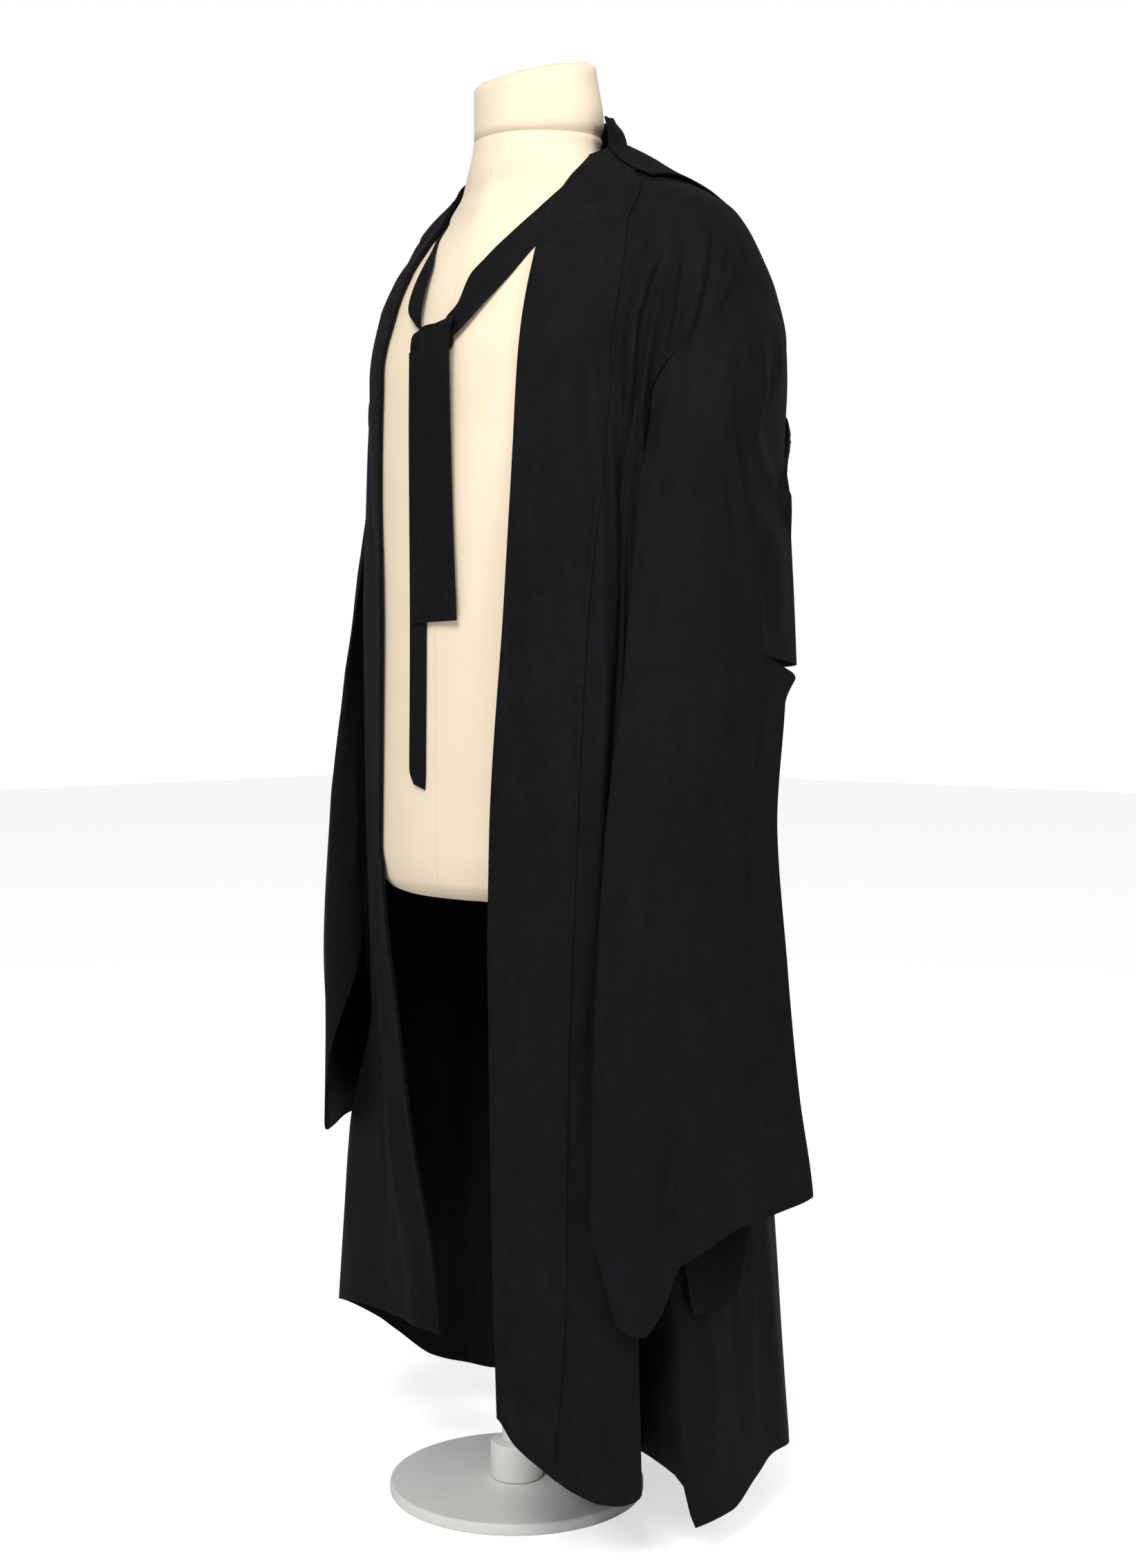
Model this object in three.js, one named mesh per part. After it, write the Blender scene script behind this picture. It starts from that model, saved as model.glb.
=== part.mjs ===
// Judge robe worn on a limbless dress form. Millimetres, +Z up, wearer faces -Y, wearer's left is +X.
// The origin lies on the floor under the pole, at the middle of the base's underside.
import * as THREE from 'three';

// Driving sizes of the cloth
const CLOTH = 1.6;
const BAND_CLOTH = 2.0;
const SEAM = 0.3;
const LAYER_GAP = 0.35;
const TIE_WIDE = 54;
const TIE_NARROW = 23;
const COLLAR_HALF_WIDTH = 157;
const COLLAR_BOTTOM = 1128;
const COLLAR_STAND = 22;

// Driving sizes of the dress form and its stand
const FORM_BOTTOM = 614;
const NECK_TOP_FRONT = 1421;
const NECK_TOP_SLOPE = 0.28;
const POLE_RADIUS = 15;
const BASE_RADIUS = 130;
const BASE_HEIGHT = 12;
const SOCKET_RADIUS = 27;
const SOCKET_HEIGHT = 38;

// Angles are measured about this upright line, in degrees from the front towards the wearer's left.
const AXIS_Y = 20;
const ARMHOLE_FRONT = 80;
const ARMHOLE_BACK = 134;
const SIDE_SEAM = 108;
const ARMHOLE_CORNER_Z = 1096;
const ARMHOLE_TOP_Z = 1200;
const UNDERARM_Z = 1010;
const NECK_SIDE_Z = 1355;
const NECK_BACK_Z = 1366;

const RAD = Math.PI / 180;
const lerp = (a, b, t) => a + (b - a) * t;
const clamp = (x, lo, hi) => Math.min(hi, Math.max(lo, x));
const smooth = (t) => {
  const c = clamp(t, 0, 1);
  return c * c * (3 - 2 * c);
};

// A smooth curve through the values of one column, with no overshoot between its rows
function curve(keys, values) {
  const n = keys.length;
  const slope = keys.slice(1).map((k, i) => (values[i + 1] - values[i]) / (k - keys[i]));
  const tangent = values.map((_, i) => {
    if (i === 0) return slope[0];
    if (i === n - 1) return slope[n - 2];
    return slope[i - 1] * slope[i] <= 0 ? 0 : (2 * slope[i - 1] * slope[i]) / (slope[i - 1] + slope[i]);
  });
  return (x) => {
    if (x <= keys[0]) return values[0];
    if (x >= keys[n - 1]) return values[n - 1];
    let i = 0;
    while (x > keys[i + 1]) i += 1;
    const h = keys[i + 1] - keys[i];
    const t = (x - keys[i]) / h;
    const t2 = t * t;
    const t3 = t2 * t;
    return (2 * t3 - 3 * t2 + 1) * values[i] + (t3 - 2 * t2 + t) * h * tangent[i]
      + (3 * t2 - 2 * t3) * values[i + 1] + (t3 - t2) * h * tangent[i + 1];
  };
}

// Rows are arrays under named columns; the first column is the key, sorted upwards.
function table(columns, rows) {
  const sorted = [...rows].sort((a, b) => a[0] - b[0]);
  const keys = sorted.map((row) => row[0]);
  const curves = {};
  columns.slice(1).forEach((name, i) => {
    curves[name] = curve(keys, sorted.map((row) => row[i + 1]));
  });
  return curves;
}

// Level sections of the dress form: half width, depth before and behind the middle, the middle's Y
// and how square the front half is.
const FORM = table(['z', 'width', 'front', 'back', 'middle', 'power'], [
  [614, 136, 92, 90, 0, 2.0],
  [619, 149, 104, 101, 0, 2.0],
  [632, 158, 113, 110, 0, 2.0],
  [660, 161, 116, 114, 0, 2.1],
  [770, 156, 116, 108, 0, 2.1],
  [890, 150, 116, 104, 0, 2.1],
  [1010, 160, 118, 106, 2, 2.1],
  [1130, 172, 118, 108, 8, 2.1],
  [1196, 178, 106, 98, 16, 2.0],
  [1235, 176, 100, 84, 24, 1.75],
  [1266, 166, 96, 68, 34, 1.5],
  [1292, 144, 92, 54, 42, 1.35],
  [1315, 110, 80, 48, 42, 1.5],
  [1333, 84, 74, 48, 38, 1.8],
  [1348, 70, 68, 50, 34, 2.0],
  [1366, 65, 64, 54, 32, 2.0],
  [1450, 62, 61, 56, 29, 2.0],
]);

// How far the form's surface stands from the axis at an angle and a height
function formRadius(angle, z) {
  if (z < FORM_BOTTOM - 2) return 0;
  const s = Math.sin(angle * RAD);
  const c = Math.cos(angle * RAD);
  const width = FORM.width(z);
  const middle = FORM.middle(z);
  let lo = 0;
  let hi = 260;
  for (let i = 0; i < 26; i += 1) {
    const r = (lo + hi) / 2;
    const y = AXIS_Y - r * c - middle;
    const depth = y < 0 ? FORM.front(z) : FORM.back(z);
    const power = y < 0 ? FORM.power(z) : 2;
    const inside = Math.abs((r * s) / width) ** power + Math.abs(y / depth) ** power < 1;
    if (inside) lo = r;
    else hi = r;
  }
  return lo;
}

// Radius of the robe's body by height (rows) and angle (columns, named by their angle in degrees).
// Columns past a180 are the wearer's right side.
const BODY_ANGLES = [30, 45, 60, 70, 80, 95, 110, 125, 140, 160, 180,
  200, 220, 235, 250, 265, 275, 280, 290, 300, 315, 328];
const BODY_ROWS = [
  [1390, 0, 0, 0, 0, 0, 74, 76, 76, 76, 72, 70, 72, 76, 76, 76, 74, 0, 0, 0, 0, 0, 0],
  [1352, 0, 0, 0, 0, 0, 80, 90, 90, 88, 86, 84, 86, 88, 90, 90, 80, 40, 0, 0, 0, 0, 0],
  [1330, 0, 0, 0, 0, 72, 108, 130, 132, 126, 114, 108, 114, 126, 132, 130, 108, 80, 72, 0, 0, 0, 0],
  [1303, 0, 0, 0, 80, 108, 162, 186, 186, 176, 154, 140, 154, 176, 186, 186, 162, 124, 108, 80, 0, 0, 0],
  [1284, 0, 0, 90, 105, 122, 190, 212, 210, 198, 173, 156, 173, 198, 210, 212, 190, 140, 120, 100, 90, 0, 0],
  [1245, 0, 100, 122, 140, 162, 215, 234, 233, 220, 195, 180, 195, 220, 233, 234, 212, 180, 160, 138, 118, 100, 0],
  [1210, 0, 118, 140, 160, 184, 226, 244, 248, 236, 208, 192, 208, 236, 248, 242, 222, 200, 186, 160, 138, 116, 0],
  [1161, 0, 135, 156, 168, 191, 232, 250, 258, 248, 218, 200, 218, 248, 258, 248, 226, 204, 191, 168, 152, 135, 126],
  [1096, 140, 152, 175, 188, 193, 225, 245, 256, 252, 222, 205, 222, 252, 256, 244, 222, 202, 193, 180, 168, 150, 148],
  [1000, 150, 165, 195, 205, 205, 215, 235, 250, 250, 226, 210, 226, 248, 250, 235, 215, 204, 198, 185, 172, 154, 149],
  [900, 158, 175, 205, 212, 208, 212, 225, 240, 245, 228, 214, 228, 245, 240, 225, 212, 204, 200, 188, 175, 155, 149],
  [700, 168, 188, 212, 214, 206, 205, 215, 232, 242, 232, 220, 232, 242, 232, 215, 205, 200, 196, 185, 174, 155, 150],
  [600, 176, 196, 220, 218, 208, 206, 216, 233, 243, 235, 224, 234, 242, 231, 215, 207, 206, 200, 185, 170, 150, 147],
  [480, 185, 205, 228, 224, 212, 210, 218, 235, 245, 238, 228, 236, 240, 228, 215, 215, 217, 206, 182, 160, 138, 126],
  [340, 198, 222, 240, 236, 228, 225, 228, 242, 250, 243, 235, 240, 238, 225, 222, 245, 254, 236, 180, 148, 120, 110],
  [230, 208, 236, 252, 250, 244, 240, 240, 250, 256, 248, 240, 242, 234, 222, 235, 262, 266, 242, 172, 135, 101, 92],
  [30, 222, 255, 262, 262, 262, 258, 262, 268, 266, 258, 248, 242, 232, 228, 245, 278, 284, 256, 150, 118, 84, 80],
];
const BODY = table(['z', ...BODY_ANGLES.map((a) => `a${a}`)], BODY_ROWS);

// Folds of the body: middle angle, half width in degrees, depth outwards in mm, and the heights
// over which the fold grows from nothing at its top to its full depth at its full height.
const BODY_FOLDS = [
  { name: 'left front pleat ridge', angle: 63, half: 4, depth: 5, top: 1290, full: 1150 },
  { name: 'left front pleat valley', angle: 71, half: 4, depth: -7, top: 1120, full: 1000 },
  { name: 'left deep fold', angle: 73.5, half: 5.5, depth: -88, top: 420, full: 60 },
  { name: 'left back lobe', angle: 118, half: 9, depth: 6, top: 700, full: 200 },
  { name: 'back fold one', angle: 142, half: 8, depth: -12, top: 1290, full: 900 },
  { name: 'back fold two', angle: 156, half: 7, depth: 9, top: 1250, full: 800 },
  { name: 'back fold three', angle: 170, half: 8, depth: -14, top: 1270, full: 860 },
  { name: 'back fold four', angle: 185, half: 8, depth: 10, top: 1230, full: 780 },
  { name: 'back fold five', angle: 199, half: 7, depth: -13, top: 1280, full: 900 },
  { name: 'back fold six', angle: 214, half: 8, depth: 9, top: 1250, full: 820 },
  { name: 'back fold seven', angle: 228, half: 7, depth: -11, top: 1280, full: 880 },
  { name: 'right back lobe', angle: 242, half: 7, depth: 8, top: 700, full: 220 },
  { name: 'right front ridge', angle: 305, half: 7, depth: 5, top: 560, full: 320 },
];

const REST_RISE = 2.6;
const REST_OUT = 3.7;

// Radius of the body's inner face. On the shoulders it rests just over the form.
function bodyRadius(angle, z) {
  const key = (a) => BODY[`a${a}`](z);
  let i = 0;
  while (i < BODY_ANGLES.length - 2 && angle > BODY_ANGLES[i + 1]) i += 1;
  const a0 = BODY_ANGLES[Math.max(0, i - 1)];
  const a1 = BODY_ANGLES[i];
  const a2 = BODY_ANGLES[i + 1];
  const a3 = BODY_ANGLES[Math.min(BODY_ANGLES.length - 1, i + 2)];
  const p = [key(a0), key(a1), key(a2), key(a3)];
  const m1 = a2 > a0 ? (p[2] - p[0]) / (a2 - a0) : 0;
  const m2 = a3 > a1 ? (p[3] - p[1]) / (a3 - a1) : 0;
  const h = a2 - a1;
  const t = clamp((angle - a1) / h, 0, 1);
  const t2 = t * t;
  const t3 = t2 * t;
  let r = (2 * t3 - 3 * t2 + 1) * p[1] + (t3 - 2 * t2 + t) * h * m1
    + (3 * t2 - 2 * t3) * p[2] + (t3 - t2) * h * m2;
  for (const fold of BODY_FOLDS) {
    const across = 1 - Math.abs(angle - fold.angle) / fold.half;
    if (across > 0 && z < fold.top) {
      r += fold.depth * smooth(across) * smooth((fold.top - z) / (fold.top - fold.full));
    }
  }
  if (z > FORM_BOTTOM - 10) r = Math.max(r, formRadius(angle, z - REST_RISE) + REST_OUT);
  return r;
}

function bodyPoint(angle, z, out = 0) {
  const r = bodyRadius(angle, z) + out;
  return new THREE.Vector3(r * Math.sin(angle * RAD), AXIS_Y - r * Math.cos(angle * RAD), z);
}

// Angle of each front edge and of each facing's outer edge, by height
const FRONT_EDGE = table(['z', 'left', 'leftFacing', 'right', 'rightFacing'], [
  [1355, 108, 116, 252, 244],
  [1347, 98, 112, 262, 248],
  [1335, 86, 108, 277, 252],
  [1315, 72, 97, 291, 263],
  [1276, 54, 86, 306, 274],
  [1243, 48, 79, 312.5, 281],
  [1171, 42, 73, 320, 287],
  [1112, 40, 70.5, 323.6, 289],
  [1000, 38, 64.5, 324, 291],
  [890, 36, 60, 324, 290],
  [670, 32, 56.5, 323.4, 288],
  [600, 32, 55.5, 322, 288],
  [480, 33, 54, 318.8, 290],
  [345, 34.5, 53, 317.5, 291],
  [230, 36, 52, 316.8, 291],
  [130, 37.2, 50, 316.5, 289],
]);

// Height of the hem by angle
const HEM = table(['angle', 'z'], [
  [30, 152],
  [37, 146],
  [41, 126],
  [47, 106],
  [53, 86],
  [60, 72],
  [66, 71],
  [69, 78],
  [71.5, 94],
  [75, 96],
  [78, 82],
  [79.5, 56],
  [81, 34],
  [93, 35],
  [103, 53],
  [114, 66],
  [123, 62],
  [150, 48],
  [180, 44],
  [210, 44],
  [235, 48],
  [251, 64],
  [260, 96],
  [264, 112],
  [275, 142],
  [287, 158],
  [300, 158],
  [317, 155],
  [330, 152],
]).z;

// Share of the armhole's half height by angle, 0 at its corners and 1 at its middle
function armholeShare(angle) {
  const t = clamp((angle - ARMHOLE_FRONT) / (ARMHOLE_BACK - ARMHOLE_FRONT), 0, 1);
  return Math.sin(Math.PI * t) ** 0.85;
}
const armholeUpper = (angle) => lerp(ARMHOLE_CORNER_Z, ARMHOLE_TOP_Z, armholeShare(angle));
const armholeLower = (angle) => lerp(ARMHOLE_CORNER_Z, UNDERARM_Z, armholeShare(angle));
const SEAM_ANGLE = SEAM / 220 / RAD;

// A mesh of shared points in the making: patches of a grid are added and joined where they meet.
class Sheet {
  constructor() {
    this.points = [];
    this.faces = [];
    this.index = new Map();
  }

  add(point) {
    const key = [point.x, point.y, point.z].map((v) => Math.round(v * 50)).join(',');
    if (!this.index.has(key)) {
      this.index.set(key, this.points.length);
      this.points.push(point.clone());
    }
    return this.index.get(key);
  }

  // us runs along the grid and vs down it; with closed, the last column joins the first.
  patch(us, vs, pointAt, closed = false) {
    const grid = vs.map((v) => us.map((u) => this.add(pointAt(u, v))));
    const last = closed ? us.length : us.length - 1;
    for (let j = 0; j < vs.length - 1; j += 1) {
      for (let i = 0; i < last; i += 1) {
        const k = (i + 1) % us.length;
        this.triangle(grid[j][i], grid[j + 1][i], grid[j + 1][k]);
        this.triangle(grid[j][i], grid[j + 1][k], grid[j][k]);
      }
    }
    return grid;
  }

  triangle(a, b, c) {
    if (a !== b && b !== c && c !== a) this.faces.push([a, b, c]);
  }

  normals() {
    const sums = this.points.map(() => new THREE.Vector3());
    const ab = new THREE.Vector3();
    const ac = new THREE.Vector3();
    for (const [a, b, c] of this.faces) {
      ab.subVectors(this.points[b], this.points[a]);
      ac.subVectors(this.points[c], this.points[a]);
      ab.cross(ac);
      [a, b, c].forEach((i) => sums[i].add(ab));
    }
    return sums.map((s) => s.normalize());
  }

  // Part of this sheet as a sheet of its own, its points moved out along the whole sheet's normals
  layer(grids, out) {
    const normals = this.normals();
    const piece = new Sheet();
    for (const grid of grids) {
      const rows = grid.map((row) => row.map((i) => {
        return this.points[i].clone().addScaledVector(normals[i], out);
      }));
      piece.patch(steps(rows[0].length - 1, 0, rows[0].length - 1), steps(rows.length - 1, 0, rows.length - 1),
        (u, v) => rows[Math.round(v)][Math.round(u)]);
    }
    return piece;
  }

  // Closes the sheet into a wall: its own face, one moved out along the normals, and its edges
  wall(thickness) {
    const normals = this.normals();
    const n = this.points.length;
    const outer = this.points.map((p, i) => p.clone().addScaledVector(normals[i], thickness));
    const triangles = [];
    const edges = new Map();
    for (const [a, b, c] of this.faces) {
      triangles.push([a + n, b + n, c + n], [a, c, b]);
      [[a, b], [b, c], [c, a]].forEach(([p, q]) => edges.set(`${p},${q}`, [p, q]));
    }
    for (const [p, q] of edges.values()) {
      if (!edges.has(`${q},${p}`)) triangles.push([p, q, q + n], [p, q + n, p + n]);
    }
    return toGeometry([...this.points, ...outer], triangles);
  }
}

function toGeometry(points, triangles) {
  const geometry = new THREE.BufferGeometry();
  const flat = new Float32Array(points.length * 3);
  points.forEach((p, i) => p.toArray(flat, i * 3));
  geometry.setAttribute('position', new THREE.BufferAttribute(flat, 3));
  geometry.setIndex(triangles.flat());
  geometry.computeVertexNormals();
  return geometry;
}

function steps(count, from = 0, to = 1) {
  return Array.from({ length: count + 1 }, (_, i) => lerp(from, to, i / count));
}

// Shares of the way down a panel: above the armhole's corners, then from there to the hem
const UPPER_ROWS = [0, 0.1, 0.21, 0.33, 0.46, 0.6, 0.74, 0.87, 1];
const LOWER_ROWS = [0, 0.06, 0.14, 0.24, 0.36, 0.48, 0.6, 0.72, 0.83, 0.92, 1];
// Columns of a front: 0 to 1 under the facing, 1 to 2 from there to the armhole
const FACING_COLUMNS = [0, 0.34, 0.67, 1];
const FRONT_COLUMNS = [1, 1.22, 1.42, 1.58, 1.7, 1.78, 1.86, 1.93, 2];
const FACING_EDGE_Z = curve([0, 0.25, 0.5, 0.75, 1], [1335, 1296, 1240, 1170, 1108]);
const FRONT_EDGE_Z = curve([0, 0.12, 0.25, 0.4, 0.6, 0.8, 1], [1355, 1342, 1320, 1285, 1232, 1175, 1112]);
const UNDERARM_FRONT = [80, 84, 90, 98, 108];
const UNDERARM_BACK = [108, 114.5, 121, 127.5, 134];

const pair = (a, b, t) => [lerp(a[0], b[0], t), lerp(a[1], b[1], t)];

// Angle and height on one front panel; column 0 is its front edge, 1 the facing's outer edge and 2 the
// armhole or the line under the armhole's corner.
function frontPlace(column, row, upper, right) {
  const edgeName = right ? 'right' : 'left';
  const own = (angle) => (right ? 360 - angle : angle);
  const top = SIDE_SEAM - SEAM_ANGLE;
  const edgeHemZ = HEM(FRONT_EDGE[edgeName](147));
  const facingHemZ = HEM(FRONT_EDGE[`${edgeName}Facing`](100));
  const edgeZ = upper ? FRONT_EDGE_Z(row) : lerp(FRONT_EDGE_Z(1), edgeHemZ, row);
  const facingZ = upper ? FACING_EDGE_Z(row) : lerp(FACING_EDGE_Z(1), facingHemZ, row);
  const edge = [Math.min(top, own(FRONT_EDGE[edgeName](edgeZ))), edgeZ];
  const facing = [Math.min(top, own(FRONT_EDGE[`${edgeName}Facing`](facingZ))), facingZ];
  let side;
  if (upper) {
    const angle = lerp(top, ARMHOLE_FRONT, row);
    side = [angle, armholeUpper(angle) + SEAM];
  } else {
    side = [ARMHOLE_FRONT, lerp(ARMHOLE_CORNER_Z + SEAM, HEM(own(ARMHOLE_FRONT)), row)];
  }
  const place = column <= 1 ? pair(edge, facing, column) : pair(facing, side, column - 1);
  if (!upper && column > 0 && column < 2) {
    const start = frontPlace(column, 1, true, right)[1];
    place[1] = lerp(start, HEM(own(place[0])), row);
  }
  return place;
}

function underarmPlace(angle, row, right) {
  const own = right ? 360 - angle : angle;
  const corner = angle === ARMHOLE_FRONT || angle === ARMHOLE_BACK;
  const start = corner ? ARMHOLE_CORNER_Z + SEAM : armholeLower(angle);
  return [angle, lerp(start, HEM(own), row)];
}

function frontPanel(right) {
  const sheet = new Sheet();
  const own = (angle) => (right ? 360 - angle : angle);
  const order = (list) => (right ? [...list].reverse() : list);
  const at = (place) => bodyPoint(own(place[0]), place[1]);
  const upper = (u, v) => at(frontPlace(u, v, true, right));
  const lower = (u, v) => at(frontPlace(u, v, false, right));
  const bands = [
    sheet.patch(order(FACING_COLUMNS), UPPER_ROWS, upper),
    sheet.patch(order(FACING_COLUMNS), LOWER_ROWS, lower),
  ];
  sheet.patch(order(FRONT_COLUMNS), UPPER_ROWS, upper);
  sheet.patch(order(FRONT_COLUMNS), LOWER_ROWS, lower);
  const under = (angle, v) => at(underarmPlace(angle === SIDE_SEAM ? angle - SEAM_ANGLE : angle, v, right));
  sheet.patch(order(UNDERARM_FRONT), LOWER_ROWS, under);
  return { sheet, facing: sheet.layer(bands, CLOTH + LAYER_GAP) };
}

// The back hangs from both shoulder seams and the neckline. Columns 0 and 1 are its armhole corners;
// its top edge turns at NECK_LEFT and NECK_RIGHT.
const NECK_LEFT = 0.24;
const NECK_RIGHT = 1 - NECK_LEFT;
const BACK_COLUMNS = [0, 0.08, 0.16, NECK_LEFT, 0.31, 0.38, 0.44, 0.5, 0.56, 0.62, 0.69, NECK_RIGHT, 0.84, 0.92, 1];

const neckline = (angle) => lerp(NECK_SIDE_Z, NECK_BACK_Z, Math.sin(Math.PI * clamp((angle - 108) / 144, 0, 1)));

function backTop(u) {
  const shoulder = SIDE_SEAM + SEAM_ANGLE;
  if (u <= NECK_LEFT) return [shoulder, lerp(ARMHOLE_TOP_Z + SEAM, NECK_SIDE_Z, u / NECK_LEFT)];
  if (u >= NECK_RIGHT) return [360 - shoulder, lerp(NECK_SIDE_Z, ARMHOLE_TOP_Z + SEAM, (u - NECK_RIGHT) / NECK_LEFT)];
  const angle = lerp(shoulder, 360 - shoulder, (u - NECK_LEFT) / (NECK_RIGHT - NECK_LEFT));
  return [angle, neckline(angle)];
}

function backSide(v) {
  const angle = lerp(SIDE_SEAM + SEAM_ANGLE, ARMHOLE_BACK, v);
  return [angle, armholeUpper(angle) + SEAM];
}

function backUpper(u, v) {
  const left = backSide(v);
  const right = [360 - left[0], left[1]];
  const top = backTop(u);
  const bottom = bottomCorner(u);
  const topLeft = backTop(0);
  const topRight = backTop(1);
  return [0, 1].map((i) => {
    const corners = lerp(lerp(topLeft[i], topRight[i], u), lerp(bottomCorner(0)[i], bottomCorner(1)[i], u), v);
    return lerp(left[i], right[i], u) + lerp(top[i], bottom[i], v) - corners;
  });
}
const bottomCorner = (u) => [lerp(ARMHOLE_BACK, 360 - ARMHOLE_BACK, u), ARMHOLE_CORNER_Z + SEAM];

function backPanel() {
  const sheet = new Sheet();
  const at = (place) => bodyPoint(place[0], place[1]);
  const lower = (u, v) => {
    const [angle, z] = bottomCorner(u);
    return at([angle, lerp(z, HEM(angle), v)]);
  };
  sheet.patch(BACK_COLUMNS, UPPER_ROWS, (u, v) => at(backUpper(u, v)));
  sheet.patch(BACK_COLUMNS, LOWER_ROWS, lower);
  const under = (right) => (angle, v) => {
    const place = underarmPlace(angle === SIDE_SEAM ? angle + SEAM_ANGLE : angle, v, right);
    return at([right ? 360 - place[0] : place[0], place[1]]);
  };
  sheet.patch(UNDERARM_BACK, LOWER_ROWS, under(false));
  sheet.patch([...UNDERARM_BACK].reverse(), LOWER_ROWS, under(true));
  return sheet;
}

// Sleeves. Level sections, mirrored for the wearer's right: where the front fold, the crest of the
// outer face and the back fold lie, and how far the outer face swells beyond the line between them.
const SLEEVE_COLUMNS = ['z', 'frontX', 'frontY', 'crestX', 'crestY', 'backX', 'backY', 'swell'];
const SLEEVE_UPPER = {
  left: table(SLEEVE_COLUMNS, [
    [1000, 204, -44, 262, 46, 234, 142, 14],
    [920, 206, -56, 268, 52, 238, 146, 17],
    [835, 208, -68, 275, 57, 241, 147, 20],
  ]),
  right: table(SLEEVE_COLUMNS, [
    [1000, 190, -28, 256, 46, 234, 142, 6],
    [920, 195, -40, 264, 52, 238, 146, 8],
    [835, 200, -53, 272, 57, 241, 147, 10],
  ]),
};
const SLEEVE_LOWER = {
  left: table(SLEEVE_COLUMNS, [
    [836, 208, -69, 275, 57, 258, 128, 20],
    [806, 206, -72, 281, 50, 290, 68, 20],
    [700, 205, -88, 278, 20, 285, 64, 16],
    [560, 210, -106, 288, 16, 295, 67, 15],
    [440, 215, -117, 298, 18, 305, 73, 14],
    [340, 219, -124, 308, 20, 318, 79, 12],
    [200, 222, -127, 312, 22, 324, 82, 12],
  ]),
  right: table(SLEEVE_COLUMNS, [
    [836, 200, -54, 272, 57, 258, 128, 10],
    [806, 200, -57, 276, 50, 288, 68, 10],
    [700, 203, -68, 274, 20, 284, 64, 8],
    [560, 208, -72, 284, 16, 292, 67, 8],
    [440, 206, -75, 287, 18, 297, 73, 7],
    [340, 206, -78, 290, 20, 303, 79, 6],
    [200, 208, -80, 292, 22, 306, 82, 6],
  ]),
};
const UNDERARM_CLEAR = 13;
const SLEEVE_START_OUT = 4.4;
const FIRST_LEVEL = 1000;

// Height of the elbow seam and of the sleeve's end round the sleeve: 0 front fold, 0.25 outer side,
// 0.5 back fold, 0.75 side against the body
const ELBOW = table(['turn', 'z'], [
  [0, 829],
  [0.12, 850],
  [0.25, 858],
  [0.38, 852],
  [0.5, 843],
  [0.75, 836],
  [1, 829],
]).z;
// How far the open slit at the back gapes
const ELBOW_GAPE = table(['turn', 'gap'], [
  [0, 1],
  [0.36, 1],
  [0.44, 9],
  [0.5, 15],
  [0.58, 12],
  [0.68, 1],
  [1, 1],
]).gap;
const SLEEVE_END = {
  left: table(['turn', 'z'], [
    [0, 330],
    [0.036, 298],
    [0.071, 238],
    [0.107, 230],
    [0.143, 251],
    [0.179, 293],
    [0.214, 302],
    [0.25, 312],
    [0.3, 323],
    [0.36, 328],
    [0.43, 336],
    [0.5, 342],
    [0.571, 331],
    [0.607, 240],
    [0.643, 232],
    [0.7, 232],
    [0.75, 400],
    [0.83, 579],
    [0.91, 520],
    [1, 330],
  ]).z,
  right: table(['turn', 'z'], [
    [0, 425],
    [0.036, 362],
    [0.1, 346],
    [0.25, 341],
    [0.38, 344],
    [0.5, 351],
    [0.6, 380],
    [0.7, 480],
    [0.82, 579],
    [0.92, 500],
    [1, 425],
  ]).z,
};

// One level section of a sleeve as a closed curve
function sleeveSection(levels, z, right) {
  const front = new THREE.Vector3(levels.frontX(z), levels.frontY(z), z);
  const crest = new THREE.Vector3(levels.crestX(z), levels.crestY(z), z);
  const back = new THREE.Vector3(levels.backX(z), levels.backY(z), z);
  const along = crest.clone().sub(front);
  const outward = new THREE.Vector3(along.y, -along.x, 0).normalize();
  const swell = levels.swell(z);
  const angleOf = (p) => Math.atan2(p.x, AXIS_Y - p.y) / RAD;
  const frontAngle = angleOf(front);
  const backAngle = angleOf(back);
  const inner = (t) => {
    const angle = lerp(backAngle, frontAngle, t);
    const r = bodyRadius(right ? 360 - angle : angle, z) + UNDERARM_CLEAR;
    return new THREE.Vector3(r * Math.sin(angle * RAD), AXIS_Y - r * Math.cos(angle * RAD), z);
  };
  const points = [
    front,
    front.clone().lerp(crest, 0.32).addScaledVector(outward, swell),
    front.clone().lerp(crest, 0.68).addScaledVector(outward, swell),
    crest,
    back,
    inner(0.25),
    inner(0.52),
    inner(0.8),
  ];
  return new THREE.CatmullRomCurve3(points, true, 'centripetal');
}

function sleeveLevel(levels, turn, z, right) {
  return sleeveSection(levels, z, right).getPoint(turn % 1);
}

// Where the sleeve is sewn on, on the body's own surface, and the way it leaves the seam
function sleeveStart(turn, right) {
  const outer = turn < 0.5;
  const half = outer ? turn * 2 : 2 - turn * 2;
  const angle = lerp(ARMHOLE_FRONT, ARMHOLE_BACK, half);
  const own = right ? 360 - angle : angle;
  const share = armholeShare(angle);
  const z = outer ? armholeUpper(angle) - SEAM : armholeLower(angle) - SEAM;
  const out = outer ? lerp(SLEEVE_START_OUT, 0, smooth(share * 1.6)) : SLEEVE_START_OUT;
  const point = bodyPoint(own, z, out);
  const ahead = bodyPoint(own, z - 8, out + (outer ? 1.5 * share : 2));
  if (right) {
    point.x *= -1;
    ahead.x *= -1;
  }
  return { point, way: ahead.sub(point).normalize() };
}

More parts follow.
